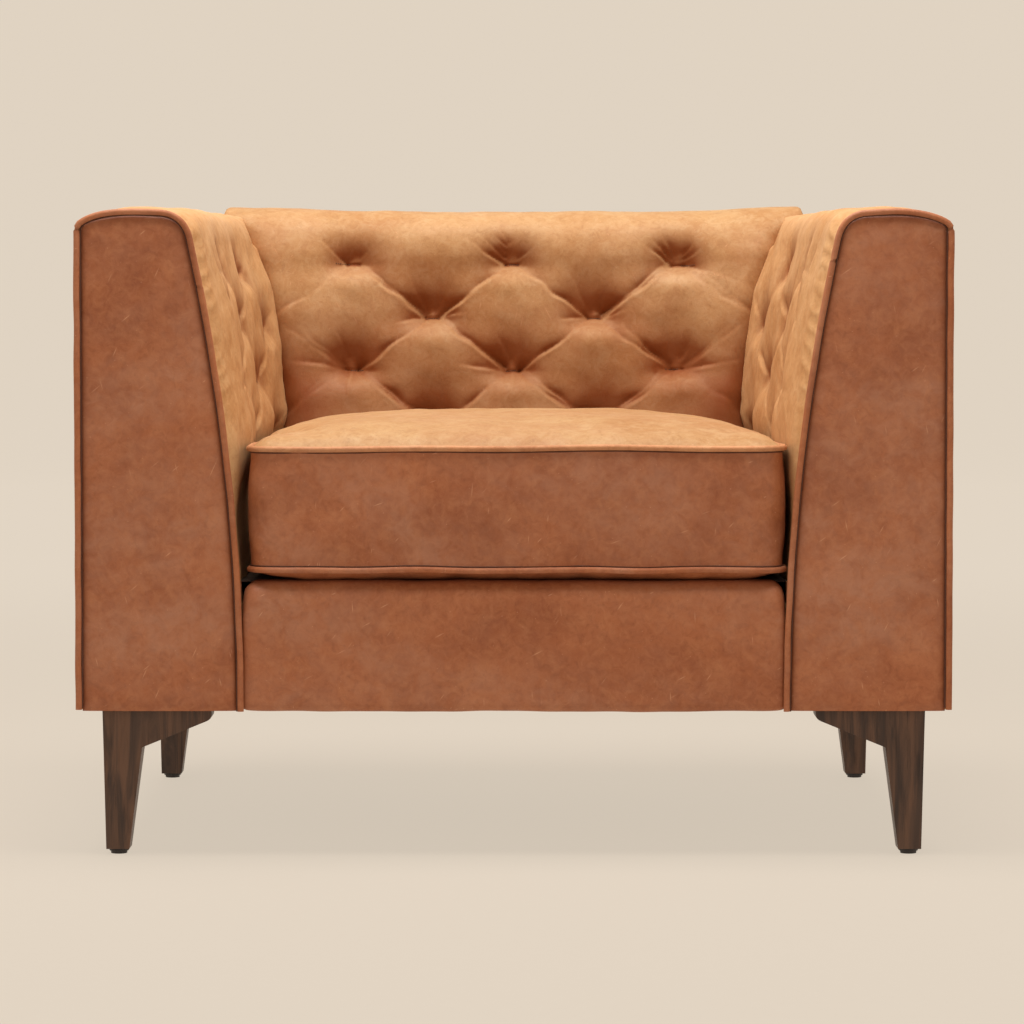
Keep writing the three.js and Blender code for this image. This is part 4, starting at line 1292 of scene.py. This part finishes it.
def zip_parts():
    """Tape, teeth and slider on the rear boxing."""
    low, high = (np.array(p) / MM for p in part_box("zip_tape"))
    middle = (low[2] + high[2]) / 2
    x = np.linspace(low[0], high[0], 120)[None, :]
    z = np.concatenate([np.linspace(low[2], middle - 1.2, 7), np.linspace(middle + 1.2, high[2], 7)])
    z = z[:, None]
    lift = 0.25 * np.sin(x * 2 * math.pi / 6) * np.exp(-np.minimum(z - low[2], high[2] - z) / 1.5)
    outer, inner = field(x, low[1] + 1.0 + lift, z), field(x, low[1] + 0.1, z)
    tape = slab("zip_tape_cloth", outer, inner, ZIP_CLOTH)
    dress(tape, "seat_cushion", "zip_cloth", "zip_tape")
    shape, faces = lozenge(3.4, 0.9, 1.3, 5, 8)
    axes = np.array([[0.12, 0, 1], [1, 0, -0.12], [0, 1, 0]], float)
    places = []
    for k, at in enumerate(np.arange(low[0] + 2, high[0] - 2, 1.5)):
        lean = 0.5 if k % 2 else -0.5
        places.append(((at, high[1] - 0.9, middle + lean), axes))
    attach(many("zip_teeth", places, shape, faces, ZIP_METAL), "seat_cushion")
    zip_slider()


def zip_slider():
    """The slider: a shaped body, a bridge over it, and a hanging pull."""
    low, high = (np.array(p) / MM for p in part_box("zip_slider"))
    cx, top = (low[0] + high[0]) / 2, high[2]
    y0, y1 = low[1], high[1]
    made = bmesh.new()

    def plate(outline, back, front, bevel):
        verts = [made.verts.new((p[0] * MM, back * MM, p[1] * MM)) for p in outline]
        face = made.faces.new(verts)
        grown = bmesh.ops.extrude_face_region(made, geom=[face])
        moved = [g for g in grown["geom"] if isinstance(g, bmesh.types.BMVert)]
        bmesh.ops.translate(made, verts=moved, vec=(0, (front - back) * MM, 0))
        edges = {e for v in verts + moved for e in v.link_edges}
        bmesh.ops.bevel(made, geom=list(edges), offset=bevel * MM, segments=2, affect="EDGES", profile=0.6)

    body = [(cx + a * 5.0, top - 6.5 + b) for a, b in
            ((-1, 5.2), (-0.55, 6.4), (0.55, 6.4), (1, 5.2),
             (0.86, -3.6), (0.45, -5.6), (-0.45, -5.6), (-0.86, -3.6))]
    plate(body, y0, y0 + 1.1, 0.25)
    bridge = [(cx + a * 1.3, top - 6.0 + b) for a, b in ((-1, 4.6), (1, 4.6), (1, -3.4), (-1, -3.4))]
    plate(bridge, y0 + 1.0, y1, 0.3)
    pull_top = top - 10.5
    pull = [(cx + a, pull_top + b) for a, b in
            ((-2.2, 0), (2.2, 0), (2.7, -3), (1.9, -8), (3.2, -20), (3.4, -25), (2.2, -27.6), (-2.2, -27.6),
             (-3.4, -25), (-3.2, -20), (-1.9, -8), (-2.7, -3))]
    plate(pull, y0 + 0.5, y1 - 0.35, 0.2)
    data = bpy.data.meshes.new("zip_slider_metal")
    bmesh.ops.recalc_face_normals(made, faces=made.faces)
    made.to_mesh(data)
    made.free()
    data.shade_smooth()
    data.set_sharp_from_angle(angle=math.radians(35))
    obj = bpy.data.objects.new("zip_slider_metal", data)
    bpy.context.scene.collection.objects.link(obj)
    obj.data.materials.append(ZIP_METAL)
    dress(obj, "cushion_zip_slider", "zip_metal", "zip_slider")


# ---------- the CAD pieces that stay ----------

def finish_cad(names, material, bevel=0.0):
    """A better material, and softened edges, on CAD nodes whose shape is right."""
    for name in names:
        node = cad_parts[name]
        node.data.materials.clear()
        node.data.materials.append(material)
        weld = node.modifiers.new("Weld", "WELD")
        weld.merge_threshold = 0.00002
        if bevel:
            edge = node.modifiers.new("Bevel", "BEVEL")
            edge.width = bevel * MM
            edge.segments = 3
            edge.limit_method = "ANGLE"
            edge.angle_limit = math.radians(28)
            edge.harden_normals = False


def named(*starts):
    return [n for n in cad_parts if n.startswith(starts)]


# ---------- stage, camera and light ----------

def backdrop():
    """A pale round sweep: a floor that curves up into a wall far away on every side."""
    line = [(r, 0.0) for r in (0.4, 1.5, 3.0, 5.0, 7.0, 9.0)]
    for k in range(1, 13):
        a = math.pi / 2 * k / 12
        line.append((9.0 + 3.0 * math.sin(a), 3.0 * (1 - math.cos(a))))
    line += [(12.0, 6.0), (12.0, 10.0)]
    turns = 64
    points = [(0, 0, 0)]
    for r, z in line:
        for k in range(turns):
            a = 2 * math.pi * k / turns
            points.append((r * math.cos(a) / MM, r * math.sin(a) / MM, z / MM))
    faces = [[0, 1 + k, 1 + (k + 1) % turns] for k in range(turns)]
    for i in range(len(line) - 1):
        for k in range(turns):
            a, b = 1 + i * turns, 1 + (k + 1) % turns + i * turns
            faces.append([a + k, a + k + turns, b + turns, b])
    mesh("backdrop", points, faces, sweep_paint(), 80, facing=False)


def sweep_paint():
    """Pale paper that glows a little, so that the shadow under the chair stays soft."""
    look = Look("backdrop_paper", 0.9)
    grain = look.noise(60.0, 2.0)
    look.colour(look.mix(grain, srgb(86, 80, 74), srgb(90, 84, 78)))
    around = {"Vector": look.spread((0.2, 0.2, 0.2))}
    near = look.add("ShaderNodeTexGradient", around, gradient_type="SPHERICAL")
    # The paper's glow is its own light, a little dimmer near the middle, where the lamp lights the floor,
    # and brighter far out.
    glow = look.mix(look.span(near.outputs["Fac"], 0.0, 0.8), srgb(217, 205, 189), srgb(206, 194, 178))
    look.set("Emission Color", glow)
    look.set("Emission Strength", 1.0)
    look.set("Specular IOR Level", 0.1)
    return look.bump((grain, 0.02, 0.5))


def area_light(name, place, aim, size, tall, power, colour):
    data = bpy.data.lights.new(name, "AREA")
    data.energy, data.color = power, colour
    data.shape, data.size, data.size_y = "RECTANGLE", size, tall
    light = bpy.data.objects.new(name, data)
    bpy.context.scene.collection.objects.link(light)
    light.location = place
    way = Vector(aim) - Vector(place)
    light.rotation_mode = "QUATERNION"
    light.rotation_quaternion = way.to_track_quat("-Z", "Y")


def lighting():
    bpy.context.scene.view_settings.view_transform = "Standard"
    world = bpy.data.worlds.new("studio")
    bpy.context.scene.world = world
    world.use_nodes = True
    back = world.node_tree.nodes["Background"]
    back.inputs["Color"].default_value = (1.0, 0.95, 0.89, 1)
    back.inputs["Strength"].default_value = 0.06
    area_light("overhead", (-0.12, -0.42, 2.98), (0.0, 0.1, 0.4), 2.3, 1.6, 124, (1.0, 0.97, 0.92))


def camera():
    """Square from the front, a little above the arms' height, looking slightly down."""
    data = bpy.data.cameras.new("camera")
    data.sensor_width = 36
    data.lens = 146.65
    data.clip_end = 60
    cam = bpy.data.objects.new("camera", data)
    bpy.context.scene.collection.objects.link(cam)
    cam.location = (-0.002, -5.163, 0.641)
    cam.rotation_euler = (math.radians(87.03), 0, 0)
    bpy.context.scene.camera = cam


# ---------- assembly ----------

camera()
backdrop()
lighting()
WALNUT = {name: walnut(f"walnut_{k}", k + 1) for k, name in enumerate(named("leg_"))}
ZIP_CLOTH = weave("zip_tape_weave", srgb(74, 46, 30), srgb(118, 80, 54), 2600)
ZIP_METAL = steel("zip_brass", srgb(120, 92, 52), srgb(196, 160, 104), 0.32)
for place, (side, sign) in enumerate(SIDES):
    inside_arm(side, sign, 11 + 10 * place)
    arm_foot(side, sign, 12 + 10 * place)
    outside_arm(side, sign, 14 + 10 * place)
    facing(side, sign, 17 + 10 * place)
    arm_welt(side, sign, 19 + 10 * place)
inside_back()
outside_back()
front_rail()
DECKING = weave("decking_weave", srgb(70, 50, 36), srgb(112, 84, 62), 1500)
flat_cloth("seat_deck_cloth", "seat_deck", DECKING, "decking", 2.2, 83,
           (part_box("seat_deck")[0].y / MM + 70,))
flat_cloth("dust_cloth_panel", "dust_cover", felt("dust_cloth_felt"), "dust_cloth", 0.5, 84)
seat_cushion()
zip_parts()
for name, look in WALNUT.items():
    finish_cad([name], look, 1.3)
finish_cad(named("glide_"), plastic("glide_plastic"), 0.6)
finish_cad(named("front_rail", "rear_rail", "back_top_rail", "seat_back_rail", "front_post", "rear_post",
                 "side_rail", "arm_top_rail", "back_side_frame", "corner_block"),
           timber("frame_timber"), 1.0)
finish_cad(named("seat_spring", "spring_clips"),
           steel("spring_steel", srgb(92, 94, 98), srgb(160, 163, 168), 0.34))
finish_cad(named("back_webbing"), weave("webbing_weave", srgb(120, 96, 62), srgb(188, 160, 112), 700))
